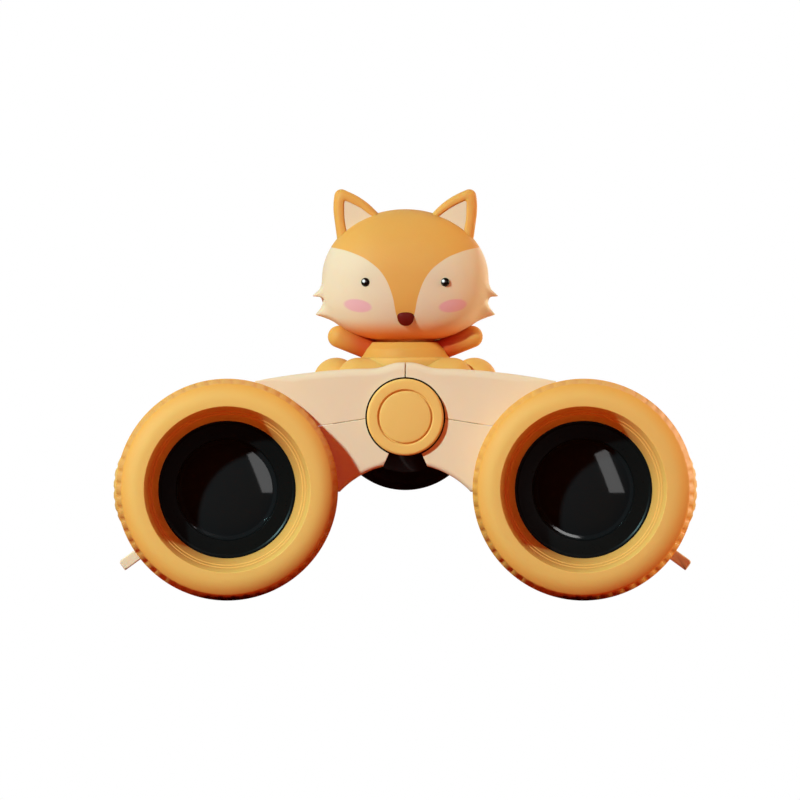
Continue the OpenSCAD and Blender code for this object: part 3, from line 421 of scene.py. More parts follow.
# Stepped funnels inside the rings
bezelSettings = {"steps": [(16.05, 2.0), (15.7, 3.4), (15.54, 3.45), (15.18, 5.0), (15.02, 5.05),
                 (13.72, 10.0)], "soft": 0.12, "outer": 17.15, "front": 2.02, "back": 0.02}


def makeBezel(side, sign):
    c = bezelSettings
    inner = [(r, yFront + d, c["soft"]) for r, d in c["steps"]]
    front, back = (c["outer"], yFront + c["front"], 0), (c["outer"], yBarrel - c["back"], 0)
    profile = filleted([front, *inner, back], 4)
    bezel = lathe(f"{side}Funnel", profile, sign * barrelX, barrelZ, 192)
    settle(bezel, f"{side}_half", funnelShadedAbs, "orange_plastic", f"{side}_bezel")


# Black retainers with a fine bead at the rim and a coved opening round the glass
retainerSettings = {"outer": 17.15, "front": 0.28, "bead": 13.55, "beadHeight": 0.13, "cove": 10.3,
                    "coveDepth": 0.5, "hole": 10.05, "depth": 3.0}


def makeRetainer(side, sign):
    c = retainerSettings
    front, back, bead = yBarrel + c["front"], yBarrel + c["depth"], c["bead"]
    crest = front - c["beadHeight"]
    profile = filleted([
        (c["outer"], front, 0), (bead + 0.05, crest, 0.05), (bead - 0.2, crest, 0.04),
        (bead - 0.5, front, 0.04), (c["cove"], front, 0.03), (c["hole"], front + c["coveDepth"], 0.1),
        (c["hole"], back, 0), (c["outer"], back, 0)], 5)
    retainer = lathe(f"{side}LensRetainer", profile, sign * barrelX, barrelZ, 192)
    settle(retainer, f"{side}_half", blackRing, "black_plastic", f"{side}_lens_retainer")


# Objective lenses: a ground dome with a polished edge
lensSettings = {"rim": 11.0, "dome": 9.25, "height": 1.0, "edge": 2.0, "seat": 3.0, "bevel": 0.15,
                "cove": [(9.5, -0.066), (9.75, -0.133), (9.8, -0.5), (10.0, -0.55)]}


def makeLens(side, sign):
    c = lensSettings
    ball = (c["dome"] ** 2 + c["height"] ** 2) / (2 * c["height"])
    seat = yBarrel + c["seat"]
    top, back = seat - c["height"], seat + c["edge"]
    spreads = between(0, math.asin(c["dome"] / ball), 24)[1:]
    dome = [(ball * math.sin(a), top + ball * (1 - math.cos(a))) for a in spreads]
    cove = [(r, seat + d) for r, d in c["cove"]]
    rim = [(c["rim"] - c["bevel"], seat), (c["rim"], seat + c["bevel"]), (c["rim"], back), (0.0, back)]
    profile = [(0.0, top)] + dome + cove + rim
    lens = lathe(f"{side}ObjectiveLens", profile, sign * barrelX, barrelZ, 128, closed=False, sharp=20)
    settle(lens, f"{side}_half", lensGlass, "lens_glass", f"{side}_objective_lens")


# Barrels: moulded tube with a raised foot band, a rounded tail and a strap lug
barrelSettings = {"outer": 21.5, "neck": 18.8, "mouth": 17.2, "lens": 11.05, "stop": 9.6, "wall": 19.3,
                  "guide": 13.05, "front": 2.1, "mouthY": -36.1, "lensY": -34.1, "stopY": -31.1,
                  "wallEnd": 1.6, "guideY": 4.6, "band": 22.2, "bandRoot": -3.15, "bandStart": -2.4,
                  "bandEnd": 6.1, "tail": 16.5, "shoulder": [(21.4, 8.2, 1.4), (19.4, 9.8, 1.4),
                  (17.1, 10.5, 0.8)], "lugRoot": 20.6, "lugReach": 26.0, "lugThick": 2.2, "lugLength": 9.0,
                  "lugAngle": 36.0, "lugY": -7.8, "lugSoft": 0.3, "hole": 1.2, "holeReach": 23.53,
                  "holeHalf": 3.0}


def makeBarrel(side, sign):
    c = barrelSettings
    front = yFront + c["front"]
    outside = [
        (c["neck"], front, 0.2), (c["neck"], yBarrel, 0), (c["outer"], yBarrel, 0.4),
        (c["outer"], c["bandRoot"], 0.5), (c["band"], c["bandStart"], 0.5), (c["band"], c["bandEnd"], 0.6)]
    inside = [
        (c["tail"], yTail, 0.1), (c["guide"], yTail, 0.3), (c["guide"], c["guideY"], 0),
        (c["wall"], c["wallEnd"], 0), (c["wall"], c["stopY"], 0), (c["stop"], c["stopY"], 0),
        (c["stop"], c["lensY"], 0), (c["lens"], c["lensY"], 0), (c["lens"], c["mouthY"], 0),
        (c["mouth"], c["mouthY"], 0), (c["mouth"], front, 0)]
    tube = lathe(f"{side}Tube", filleted(outside + c["shoulder"] + inside, 6), sign * barrelX, barrelZ, 192)
    barrel = joined(f"{side}Barrel", [tube, makeLug(sign)])
    settle(barrel, f"{side}_half", beigeAbs, "beige_plastic", f"{side}_barrel")


def makeLug(sign):
    c = barrelSettings
    a, half = math.radians(c["lugAngle"]), c["lugThick"] / 2
    section = filleted([
        (c["lugRoot"], -half, 0), (c["lugReach"], -half, 0.15), (c["lugReach"], half, 0.6),
        (c["lugRoot"], half, 0)], 6)
    along, across = Vector((math.cos(a), -math.sin(a))), Vector((math.sin(a), math.cos(a)))
    outline = []
    for p in section:
        x, z = p.x * along.x + p.y * across.x, p.x * along.y + p.y * across.y
        outline.append(Vector((sign * (barrelX + x), barrelZ + z)))
    ends = c["lugY"] - c["lugLength"] / 2, c["lugY"] + c["lugLength"] / 2
    lug = roundedPlate("lug", edged(outline, c["lugSoft"], True, 0.6), *ends)
    reach = c["holeReach"]
    centre = Vector((sign * (barrelX + reach * along.x), c["lugY"], barrelZ + reach * along.y))
    axis, flat = Vector((sign * across.x, 0, across.y)), Vector((0, 1, 0))
    level = axis.cross(flat)
    spots = [(flat * math.cos(b) + level * math.sin(b)) * c["hole"] for b in circle(40)]
    hole = [[centre + axis * end + spot for spot in spots] for end in (-c["holeHalf"], c["holeHalf"])]
    return carved(lug, [skinned("cutter", hole, capped=True)])


# Thumb pads on the outer sides of the barrels, with shallow finger grooves
gripSettings = {"barrel": 21.5, "inner": 21.55, "outer": 22.7, "halfAngle": 20.0, "length": 29.0,
                "start": -32.3, "soft": 5.5, "grooves": 5, "grooveDepth": 0.2, "grooveGap": 2.2,
                "grooveHalf": 0.55, "endFade": (2.0, 3.2), "edgeFade": (0.8, 1.6), "across": 72,
                "along": 120, "weld": 0.004, "sharp": 70}


def gripGroove(u, inset, edge):
    c = gripSettings
    deepest = 0.0
    for g in range(c["grooves"]):
        at = (g - (c["grooves"] - 1) / 2) * c["grooveGap"]
        cut = max(0.0, 1 - ((u - at) / c["grooveHalf"]) ** 2)
        fade = smoothStep(*c["endFade"], inset - abs(at) * 0.4) * smoothStep(*c["edgeFade"], edge)
        deepest = max(deepest, cut * fade)
    return deepest


def makeGrip(side, sign):
    c = gripSettings
    half = c["barrel"] * math.sin(math.radians(c["halfAngle"]))
    across, along = c["across"], c["along"]
    points, faces = [], []
    for layer in (0, 1):  # the side on the barrel, then the side for the thumb
        for i in range(along + 1):
            y = c["start"] + c["length"] * (0.5 - 0.5 * math.cos(math.pi * (i / along)))
            end = max(0.0, half - min(y - c["start"], c["start"] + c["length"] - y))
            width = math.sqrt(max(0.0, half * half - end * end))
            for k in range(across + 1):
                u = width * math.sin(math.pi * (k / across - 0.5))
                edge = half - math.hypot(u, end)
                rise = math.sqrt(max(0.0, 1 - (1 - min(1.0, edge / c["soft"])) ** 2))
                radius = c["inner"]
                if layer:
                    groove = c["grooveDepth"] * gripGroove(u, half - end, edge)
                    radius += (c["outer"] - c["inner"]) * rise - groove
                angle = u / c["barrel"]
                out, up = radius * math.cos(angle), radius * math.sin(angle)
                points.append((sign * (barrelX + out), y, barrelZ + up))

    def at(layer, i, k):
        return (layer * (along + 1) + i) * (across + 1) + k

    for layer in (0, 1):
        for i in range(along):
            corners = ((i, 0), (i, 1), (i + 1, 1), (i + 1, 0))
            faces += [tuple(at(layer, j, k + right) for j, right in corners) for k in range(across)]
    for i in range(along):
        faces += [(at(0, i, k), at(0, i + 1, k), at(1, i + 1, k), at(1, i, k)) for k in (0, across)]
    grip = makePiece(f"{side}SideGrip", points, faces, c["sharp"])
    made = bmesh.new()
    made.from_mesh(grip.data)
    bmesh.ops.remove_doubles(made, verts=made.verts, dist=c["weld"] * mm)
    made.to_mesh(grip.data)
    made.free()
    shadeByAngle(grip.data, c["sharp"])
    settle(grip, f"{side}_half", orangeSilicone, "orange_silicone", f"{side}_side_grip")


for side, sign in sides:
    for make in (makeRing, makeBezel, makeRetainer, makeLens, makeBarrel, makeGrip):
        make(side, sign)
print("barrels and objectives built")

# Bridge arms: one outline split along the parting line, with a rolled top edge
armSettings = {"bore": 8.0, "collar": 11.35, "split": 0.1, "parting": 37.65, "slope": 9.0, "gap": 0.03,
               "groove": 0.17, "archZ": 9.4, "archR": 18.0, "notch": 24.8, "corner": 4.42, "edge": 0.9,
               "seat": 21.55, "seatEdge": 0.05, "seatTop": 5.5, "seatLow": 0.02, "splitEdge": 0.08,
               "notchEdge": 0.12, "roll": 1.5, "rollEnd": 0.2, "rollFade": (22, 29), "pocketX": 18.75,
               "pocketZ": 44.8, "pocketPast": 5, "pocketTop": 60}
armTop = [(0.1, 47.66), (1.6, 47.6), (3.0, 47.3), (4.3, 46.86), (5.7, 46.52), (7.4, 46.4), (10.0, 46.36),
          (13.5, 46.15), (16.0, 45.95), (18.4, 45.68), (21.2, 45.36), (23.9, 44.98), (27.0, 44.5),
          (30.1, 43.92)]


# a curve through all the knots
def smoothLine(knots, parts):
    made = []
    for i in range(len(knots) - 1):
        p = [Vector(knots[max(0, min(len(knots) - 1, j))]) for j in (i - 1, i, i + 1, i + 2)]
        for k in range(parts):
            t = k / parts
            bow = (2 * p[0] - 5 * p[1] + 4 * p[2] - p[3]) * t * t
            twist = (3 * p[1] - p[0] - 3 * p[2] + p[3]) * t ** 3
            made.append(0.5 * (2 * p[1] + (p[2] - p[0]) * t + bow + twist))
    return made + [Vector(knots[-1])]


def partingZ(x, way):
    c = armSettings
    return c["parting"] - x * math.tan(math.radians(c["slope"])) + way * c["gap"]


def seatPoint(angle):
    reach = armSettings["seat"]
    return Vector((barrelX + reach * math.cos(angle), barrelZ + reach * math.sin(angle)))


# where the seat on the barrel meets the parting line
def seatAngleAt(way):
    angles = [math.radians(a / 50) for a in range(90 * 50, 180 * 50)]
    return min(angles, key=lambda a: abs(seatPoint(a).y - partingZ(seatPoint(a).x, way)))


# the rolled edge fades out towards the barrel
def rollAt(p):
    c = armSettings
    return c["roll"] - (c["roll"] - c["rollEnd"]) * smoothStep(*c["rollFade"], p.x)


def coverOutline():
    c = armSettings
    top = smoothLine(armTop, 5)
    start = math.atan2(math.sqrt(c["seat"] ** 2 - c["seatTop"] ** 2), -c["seatTop"])
    seat = [seatPoint(a) for a in between(start, seatAngleAt(1), 14)]
    foot = Vector((c["split"], partingZ(c["split"], 1)))
    below = Vector((c["split"], top[0].y - 1.2 * c["roll"]))
    outside = edged(top + seat[:1], rollAt) + edged(seat, c["seatEdge"])
    inside = edged([foot, below], c["splitEdge"]) + [(below, c["splitEdge"])]
    return outside + edged([seat[-1], foot], c["groove"]) + inside


def frameOutline():
    c = armSettings
    seat = [seatPoint(a) for a in between(seatAngleAt(-1), math.pi + math.asin(c["seatLow"]), 14)]
    archZ, archR = c["archZ"], c["archR"]
    turns = between(math.acos((seat[-1].y - archZ) / archR), math.asin(c["corner"] / archR), 20)
    arch = [Vector((archR * math.sin(a), archZ + archR * math.cos(a))) for a in turns]
    apex = Vector((c["split"], hingeZ - c["split"] / math.tan(math.radians(c["notch"]))))
    foot = Vector((c["split"], partingZ(c["split"], -1)))
    outside = edged(seat, c["seatEdge"]) + edged([seat[-1]] + arch, c["edge"])
    return outside + edged([arch[-1], apex, foot], c["notchEdge"]) + edged([foot, seat[0]], c["groove"])


def makeArm(side, sign, kind):
    c, w = armSettings, screwSettings
    half = coverOutline() if kind == "cover" else frameOutline()
    outline = [(Vector((sign * p.x, p.y)), r) for p, r in half]
    arm = roundedPlate(f"{side}Arm{kind.title()}", outline, yBarrel, yHubEnd, 6)
    rods = ((c["bore"], yBarrel - 1, yHubEnd + 1), (c["collar"], yCollar, yRearHub))
    cutters = [rodCutter(*rod, 0, hingeZ) for rod in rods]
    if kind == "cover":
        near, far = sorted((-sign * c["pocketPast"], sign * c["pocketX"]))
        cutters.append(boxCutter((near, yCollar, c["pocketZ"]), (far, yRearHub, c["pocketTop"])))
    else:
        roof = w["low"] + w["tall"]
        well = [(0, w["wellLow"]), (w["well"], w["wellLow"]), (w["well"], roof), (0, roof)]
        cutters += [spun("cutter", well, sign * w["x"], y, 64) for y in w["ys"]]
    carved(arm, cutters)
    settle(arm, f"{side}_half", beigeAbs, "beige_plastic", f"{side}_arm_{kind}")


# Screws that hold the covers: pan heads with a cross recess, sunk in wells under the frames
screwSettings = {"x": 11.0, "ys": (-36.1, -8.3), "low": 25.1, "tall": 1.1, "head": 1.9, "shank": 1.05,
                 "top": 42.4, "well": 2.05, "wellLow": 15, "slot": 0.5, "slotDepth": 0.6, "slotReach": 1.2}


def makeArmScrews(side, sign):
    c = screwSettings
    x, neck = sign * c["x"], c["low"] + c["tall"]
    profile = filleted([
        (0, c["low"], 0), (c["head"], c["low"], 0.45), (c["head"], neck, 0.1), (c["shank"], neck, 0),
        (c["shank"], c["top"], 0.2), (0, c["top"], 0)], 5, False)
    arms = ((c["slotReach"], c["slot"] / 2), (c["slot"] / 2, c["slotReach"]))
    low, high = c["low"] - 1, c["low"] + c["slotDepth"]
    screws = []
    for y in c["ys"]:
        cross = [boxCutter((x - a, y - b, low), (x + a, y + b, high)) for a, b in arms]
        screws.append(carved(spun("screw", profile, x, y, 48), cross))
    settle(joined(f"{side}ArmScrews", screws), f"{side}_half", platedSteel, "steel", f"{side}_arm_screws")


for side, sign in sides:
    makeArm(side, sign, "cover")
    makeArm(side, sign, "frame")
    makeArmScrews(side, sign)
print("bridge arms built")

# Hinge cap: rolled rim, a narrow groove and a slightly domed disc
capSettings = {"outer": 7.68, "thick": 1.15, "off": 0.2, "roll": 0.95, "bore": 3.05, "disc": 5.2,
               "discDepth": 0.4, "grooveWidth": 0.34, "grooveDepth": 0.5, "crown": 0.3, "crownSink": 0.12}


def makeCap():
    c = capSettings
    y, disc, wide = yBarrel - c["off"], c["disc"], c["grooveWidth"]
    front = y - c["thick"]
    floor, back = front + c["grooveDepth"], front + c["discDepth"]
    rim = filleted([
        (c["bore"], y, 0), (c["outer"], y, 0.25), (c["outer"], front, c["roll"]), (disc + wide, front, 0.3),
        (disc + wide * 0.6, floor, 0.05), (disc + 0.03, floor, 0), (c["bore"], floor + 0.2, 0)], 7)
    settle(lathe("hingeCap", rim), "centre", orangeAbs, "orange_plastic", "hinge_cap")
    turns = between(0, math.pi / 2, 20)[:18]
    crown = [(disc * math.sin(a), front + c["crownSink"] - c["crown"] * math.cos(a)) for a in turns]
    edge = filleted([(*crown[-1], 0), (disc, front + 0.2, 0.2), (disc, back, 0)], 4, False)
    profile = [(0.0, crown[0][1])] + crown[1:] + edge[1:] + [(0.0, back)]
    button = lathe("capDisc", profile, turns=128, closed=False)
    settle(button, "centre", orangeAbs, "orange_plastic", "cap_disc")


makeCap()

# Focus wheel: deep finger grooves, bevelled rims and a dished back
wheelSettings = {"outer": 14.6, "bevel": 1.3, "bore": 5.05, "rim": 11.6, "dish": 11.3, "boss": 7.6,
                 "bossTop": 7.3, "dishDepth": 5, "grooves": 40, "depth": 0.55, "chord": 0.88,
                 "fade": (2.1, 2.9)}


def makeWheel():
    c = wheelSettings
    outer, bevel = c["outer"], c["bevel"]
    dish = yWheelEnd - c["dishDepth"]
    profile = filleted([
        (c["bore"], yWheel, 0.2), (outer - bevel, yWheel, 0.4), (outer, yWheel + bevel, 0.4),
        (outer, yWheelEnd - bevel, 0.4), (outer - bevel, yWheelEnd, 0.4), (c["rim"], yWheelEnd, 0.4),
        (c["dish"], dish, 0.6), (c["boss"], dish, 0.6), (c["bossTop"], yWheelEnd, 0.4),
        (c["bore"], yWheelEnd, 0.2)], 4)
    near, far = c["fade"]
    grooves = fluting(c, outer - bevel, (yWheel + near, yWheel + far), (yWheelEnd - far, yWheelEnd - near))
    wheel = lathe("focusWheel", [p for p, r in edged(profile, 0, True, 0.8)], sharp=55, **grooves)
    settle(wheel, "focus", blackAbs, "black_plastic", "focus_wheel")


makeWheel()

# Eyepiece arms: flat links with softened rims
linkSettings = {"hub": 10.5, "ring": 15.9, "height": 9.0, "thick": 3.8, "hubBore": 7.65, "ringBore": 13.05,
                "soft": 0.5, "leftY": 14.6, "rightY": 18.8}


def makeLink(side, sign):
    c = linkSettings
    y0, drop, half = c[f"{side}Y"], hingeZ - barrelZ, c["height"] / 2
    slope, length = -math.atan2(drop, barrelX), math.hypot(barrelX, drop)
    hub, ring = math.asin(half / c["hub"]), math.asin(half / c["ring"])
    line = [(c["hub"] * math.cos(a), c["hub"] * math.sin(a)) for a in between(hub, 2 * math.pi - hub, 48)]
    turns = between(-ring, ring - 2 * math.pi, 64)
    line += [(length - c["ring"] * math.cos(a), c["ring"] * math.sin(a)) for a in turns]
    outline = []
    for u, w in line:
        x, z = u * math.cos(slope) - w * math.sin(slope), u * math.sin(slope) + w * math.cos(slope)
        outline.append(Vector((sign * x, hingeZ + z)))
    link = roundedPlate(f"{side}EyepieceArm", edged(outline, c["soft"], True, 2.0), y0, y0 + c["thick"])
    bores = ((c["hubBore"], 0, hingeZ), (c["ringBore"], sign * barrelX, barrelZ))
    carved(link, [rodCutter(r, y0 - 1, y0 + 6, x, z) for r, x, z in bores])
    settle(link, f"{side}_eyepiece", beigeAbs, "beige_plastic", f"{side}_eyepiece_arm")


for side, sign in sides:
    makeLink(side, sign)

# Eyepiece tubes, ocular cell and lenses
tubeSettings = {"outer": 13.0, "inner": 11.5, "stop": 9.5, "stopThick": 2, "collar": 15.5, "front": -1.4,
                "ocular": 37.9, "waist": (29.9, 31.7), "waistDepth": 0.4, "rightEnd": 33.1, "cellBore": 10.25,
                "cellOuter": 11.45, "cellFront": 22.6, "cellStep": 35.6, "hollow": 10.05, "dish": 1.1,
                "lensThick": 4, "lensBevel": 0.15}


def makeEyepieces():
    c = tubeSettings
    outer, inner, collar, cell = c["outer"], c["inner"], c["collar"], c["cellOuter"]
    front, ocular, (w0, w1), dip = c["front"], c["ocular"], c["waist"], c["waistDepth"]
    narrow, stopFront = collar - dip, ocular - c["stopThick"]
    end = [
        (outer, yTubeEnd, 0.2), (inner, yTubeEnd, 0.1), (inner, ocular, 0), (c["stop"], ocular, 0.1),
        (c["stop"], stopFront, 0.1)]
    left = filleted([
        (inner, front, 0.2), (outer, front, 0.4), (outer, yDioptre, 0.1), (collar, yDioptre, 1.0),
        (collar, w0, 0.2), (narrow, w0 + dip, 0.1), (narrow, w1 - dip, 0.1), (collar, w1, 0.2),
        (collar, yCup, 1.0), (outer, yCup, 0.1), *end, (inner, stopFront, 0)], 5)
    right = filleted([
        (inner, front, 0.2), (outer, front, 0.4), (outer, c["rightEnd"], 0.2), (inner, c["rightEnd"], 0.2)],
        4)
    holder = filleted([
        (c["cellBore"], c["cellFront"], 0.2), (cell, c["cellFront"], 0.2), (cell, c["cellStep"], 0),
        (outer, c["cellStep"], 0.2), *end, (c["cellBore"], stopFront, 0)], 4)
    for name, profile, sign, body, node in (
            ("leftEyepieceTube", left, 1, "left_eyepiece", "left_eyepiece_tube"),
            ("rightEyepieceTube", right, -1, "right_eyepiece", "right_eyepiece_tube"),
            ("rightOcularCell", holder, -1, "right_ocular", "right_ocular_cell")):
        settle(lathe(name, profile, sign * barrelX, barrelZ, 144), body, blackAbs, "black_plastic", node)
    back, bevel = ocular + c["lensThick"], c["lensBevel"]
    dished = [(c["hollow"] * t, c["dish"] * (1 - t ** 2)) for t in between(0, 1, 16)]
    rim = [(cell - bevel, ocular), (cell, ocular + bevel), (cell, back - bevel), (cell - bevel, back)]
    profile = [(r, ocular + d) for r, d in dished] + rim + [(r, back - d) for r, d in reversed(dished)]
    for side, sign in sides:
        lens = lathe(f"{side}OcularLens", profile, sign * barrelX, barrelZ, 128, closed=False)
        body = "left_eyepiece" if sign > 0 else "right_ocular"
        settle(lens, body, lensGlass, "lens_glass", f"{side}_ocular_lens")


makeEyepieces()

# Dioptre ring: fine grip grooves between plain rims
dioptreSettings = {"outer": 15.5, "bore": 13.05, "bevel": 0.9, "length": 10, "grooves": 36, "depth": 0.42,
                   "chord": 0.78, "plain": 0.5, "fade": (0.6, 1.6)}


def makeDioptre():
    c = dioptreSettings
    outer, bevel, end = c["outer"], c["bevel"], yDioptre + c["length"]
    profile = filleted([
        (c["bore"], yDioptre, 0.2), (outer - bevel, yDioptre, 0.4), (outer, yDioptre + bevel, 0.4),
        (outer, end - bevel, 0.4), (outer - bevel, end, 0.4), (c["bore"], end, 0.2)], 4)
    near, far = c["fade"]
    grooves = fluting(c, outer - c["plain"], (yDioptre + near, yDioptre + far), (end - far, end - near))
    points = [p for p, r in edged(profile, 0, True, 1.0)]
    ring = lathe("rightDioptreRing", points, -barrelX, barrelZ, sharp=60, **grooves)
    settle(ring, "right_dioptre", orangeSilicone, "orange_silicone", "right_dioptre_ring")


makeDioptre()

# Eyecups: soft flared sleeves with a rolled rim
cupSettings = {"socket": 13.05, "waist": 15.8, "rim": 17.2, "roll": 1.15, "wall": 2.4, "lip": 10.7,
               "grooveDepth": 0.3, "grooveY": (1.5, 1.8, 2.4, 2.7), "flare": 0.35, "flareY": 6.5}


def makeCup(side, sign):
    c = cupSettings
    waist, lip = c["waist"], c["lip"]
    y1, y2, y3, y4 = (yCup + y for y in c["grooveY"])
    narrow = waist - c["grooveDepth"]
    profile = filleted([
        (c["socket"], yCup, 0.2), (waist, yCup, 0.6), (waist, y1, 0.15), (narrow, y2, 0.15),
        (narrow, y3, 0.15), (waist, y4, 0.3), (waist + c["flare"], yCup + c["flareY"], 6),
        (c["rim"], yEnd, c["roll"]), (c["rim"] - c["wall"], yEnd, c["roll"]),
        (lip + 1.6, yTubeEnd + 2.6, 2.0), (lip, yTubeEnd + 1.4, 0.5), (lip, yTubeEnd, 0.2),
        (c["socket"], yTubeEnd, 0)], 8)
    cup = lathe(f"{side}Eyecup", profile, sign * barrelX, barrelZ, 160)
    body = "left_eyepiece" if sign > 0 else "right_ocular"
    settle(cup, body, orangeSilicone, "orange_silicone", f"{side}_eyecup")


for side, sign in sides:
    makeCup(side, sign)
print("hinge, focus and eyepieces built")

# Fox head: full jaw, two fur points on each cheek
headSettings = {"width": 16.65, "depth": 11.5, "up": 13.8, "down": 12.6, "crown": 2.0, "jaw": 2.7,
                "front": 2.5, "tuftSpread": 10.0, "tuftAim": -6.0, "tuftFade": (18, 32), "tuftBlur": 0.25}
tuftLine = [(16.66, 64.2), (16.72, 63.4), (17.25, 62.25), (18.1, 61.45), (18.62, 61.0), (18.5, 60.86),
            (17.4, 60.78), (16.62, 60.62), (16.42, 60.2), (16.55, 59.5), (16.95, 58.6), (17.65, 57.72),
            (18.02, 57.28), (17.8, 57.12), (16.6, 56.75), (15.3, 56.25), (14.3, 55.75), (13.35, 55.1)]
tuftTable = sorted((math.degrees(math.atan2(z - headZ, x)), math.hypot(x, z - headZ)) for x, z in tuftLine)


def headRadius(d):
    c = headSettings
    flat = (abs(d.x / c["width"]) ** c["front"] + abs(d.y / c["depth"]) ** c["front"]) ** (1 / c["front"])
    tall, power = (c["up"], c["crown"]) if d.z > 0 else (c["down"], c["jaw"])
    return (flat ** power + abs(d.z / tall) ** power) ** (-1 / power)


# how far the outline of the fur points stands out from the plain head at this height
def tuftExtra(angle):
    e = math.radians(angle)
    for (a0, r0), (a1, r1) in zip(tuftTable, tuftTable[1:]):
        if a0 <= angle <= a1 and tuftTable[0][0] < angle < tuftTable[-1][0]:
            reach = r0 + (r1 - r0) * (angle - a0) / (a1 - a0)
            return max(0.0, reach - headRadius(Vector((math.cos(e), 0, math.sin(e)))))
    return 0.0


# degrees from the nearer cheek's aim
def tuftOff(lon):
    aim = headSettings["tuftAim"]
    return min(abs((lon - side + 180) % 360 - 180) for side in (aim, 180 - aim))


def makeHeadForm():
    c = headSettings
    lats, lons = [-90.0], [-180.0]
    while lats[-1] < 90.0:  # finer steps at the fur points
        at = lats[-1]
        lats.append(at + (0.22 if -25 < at < -2 else 0.6 if -38 < at < 10 else 1.6))
    while lons[-1] < 180.0 - 1e-6:
        lons.append(lons[-1] + (0.8 if tuftOff(lons[-1]) < 24 else 2.0))
    near, far = c["tuftFade"]
    rows = [[(0, foxY, headZ - c["down"])]]
    for lat in lats[1:-1]:
        e, row = math.radians(lat), []
        for lon in lons[:-1]:
            b = math.radians(lon)
            d = Vector((math.cos(e) * math.cos(b), math.cos(e) * math.sin(b), math.sin(e)))
            r, off = headRadius(d), tuftOff(lon)
            if off < far:
                blur = max(0.0, off - 3) * c["tuftBlur"]
                # the points dissolve into the cheek
                extra = sum(tuftExtra(lat + k * blur) for k in range(-3, 4)) / 7
                r += extra * math.exp(-(off / c["tuftSpread"]) ** 2) * (1 - smoothStep(near, far, off))
            row.append((r * d.x, foxY + r * d.y, headZ + r * d.z))
        rows.append(row)
    rows.append([(0, foxY, headZ + c["up"])])
    return skinned("headForm", rows, 75)


# Ears: rounded shells with a raised rim round a pale panel
earSettings = {"front": -25.75, "thick": 3.1, "count": 160, "backRoll": 0.62, "frontRoll": 0.55,
               "rim": [(0.8, 0.02), (0.93, 0.12), (1.0, 0.34), (1.02, 0.7)], "inlay": (0.3, 0.8),
               "inlayEdge": 0.06}
earOuter = [(13.92, 82.92, 1.4), (14.52, 78.8, 30), (13.2, 69.0, 2.0), (3.2, 75.2, 2.0), (8.25, 80.42, 22)]
earInner = [(12.28, 80.15, 0.35), (12.2, 76.5, 12), (11.2, 70.6, 0.6), (4.9, 75.6, 0.6), (9.2, 78.75, 14)]


# points at equal steps along a rounded outline
def evenly(corners, count):
    line = filleted(corners, 10)
    lengths = [(line[(i + 1) % len(line)] - line[i]).length for i in range(len(line))]
    total, made, i, walked = sum(lengths), [], 0, 0.0
    for k in range(count):
        goal = total * k / count
        while walked + lengths[i] < goal:
            walked += lengths[i]
            i += 1
        made.append(line[i].lerp(line[(i + 1) % len(line)], (goal - walked) / max(1e-9, lengths[i])))
    return made


def makeEar(sign):
    c = earSettings
    outer, inner = evenly(earOuter, c["count"]), evenly(earInner, c["count"])
    front, half, turns = c["front"], c["thick"] / 2, between(0, math.pi / 2, 8)
    back = front + c["thick"]
    levels = [(c["backRoll"] * (1 - math.sin(a)), back - half * (1 - math.cos(a))) for a in turns]
    levels += [(c["frontRoll"] * (1 - math.cos(a)), front + half * (1 - math.sin(a))) for a in turns[1:]]
    levels += [(share, front + depth) for share, depth in c["rim"]]
    rows = []
    for share, y in levels:
        places = [o.lerp(i, share) for o, i in zip(outer, inner)]
        rows.append([(sign * p.x, y, p.y) for p in places])
    return skinned("ear", rows, 60, capped=True)


def makeInlay(sign):
    c = earSettings
    outline = [(Vector((sign * p.x, p.y)), c["inlayEdge"]) for p in evenly(earInner, c["count"])]
    return roundedPlate("inlay", outline, c["front"] + c["inlay"][0], c["front"] + c["inlay"][1], 3)


# Face paint: pale cheeks under a curved brow line, two soft pink blushes, and painted shade that turns the
# face deeper orange under the chin
maskLine = [(0.0, 55.2), (1.2, 55.5), (1.8, 57.2), (2.6, 61.0), (4.3, 64.95), (7.1, 67.75), (10.7, 69.6),
            (14.9, 70.7), (16.65, 71.0)]
faceSettings = {"wide": 16.65, "low": 50, "tall": 25, "lineSoft": 0.12, "back": 3.2, "backSoft": 0.3,
                "cheek": "#f2d0ae", "blush": "#f2b0b2", "blushX": 9.5, "blushZ": 59.0, "blushTilt": 9,
                "blushWide": 2.75, "blushTall": 1.25, "blushEdge": 4.5,
                # the chin colour and its span are painted shade under the head
                "chinShade": "#f78a33", "chinFrom": 56.8, "chinTo": 51.8}


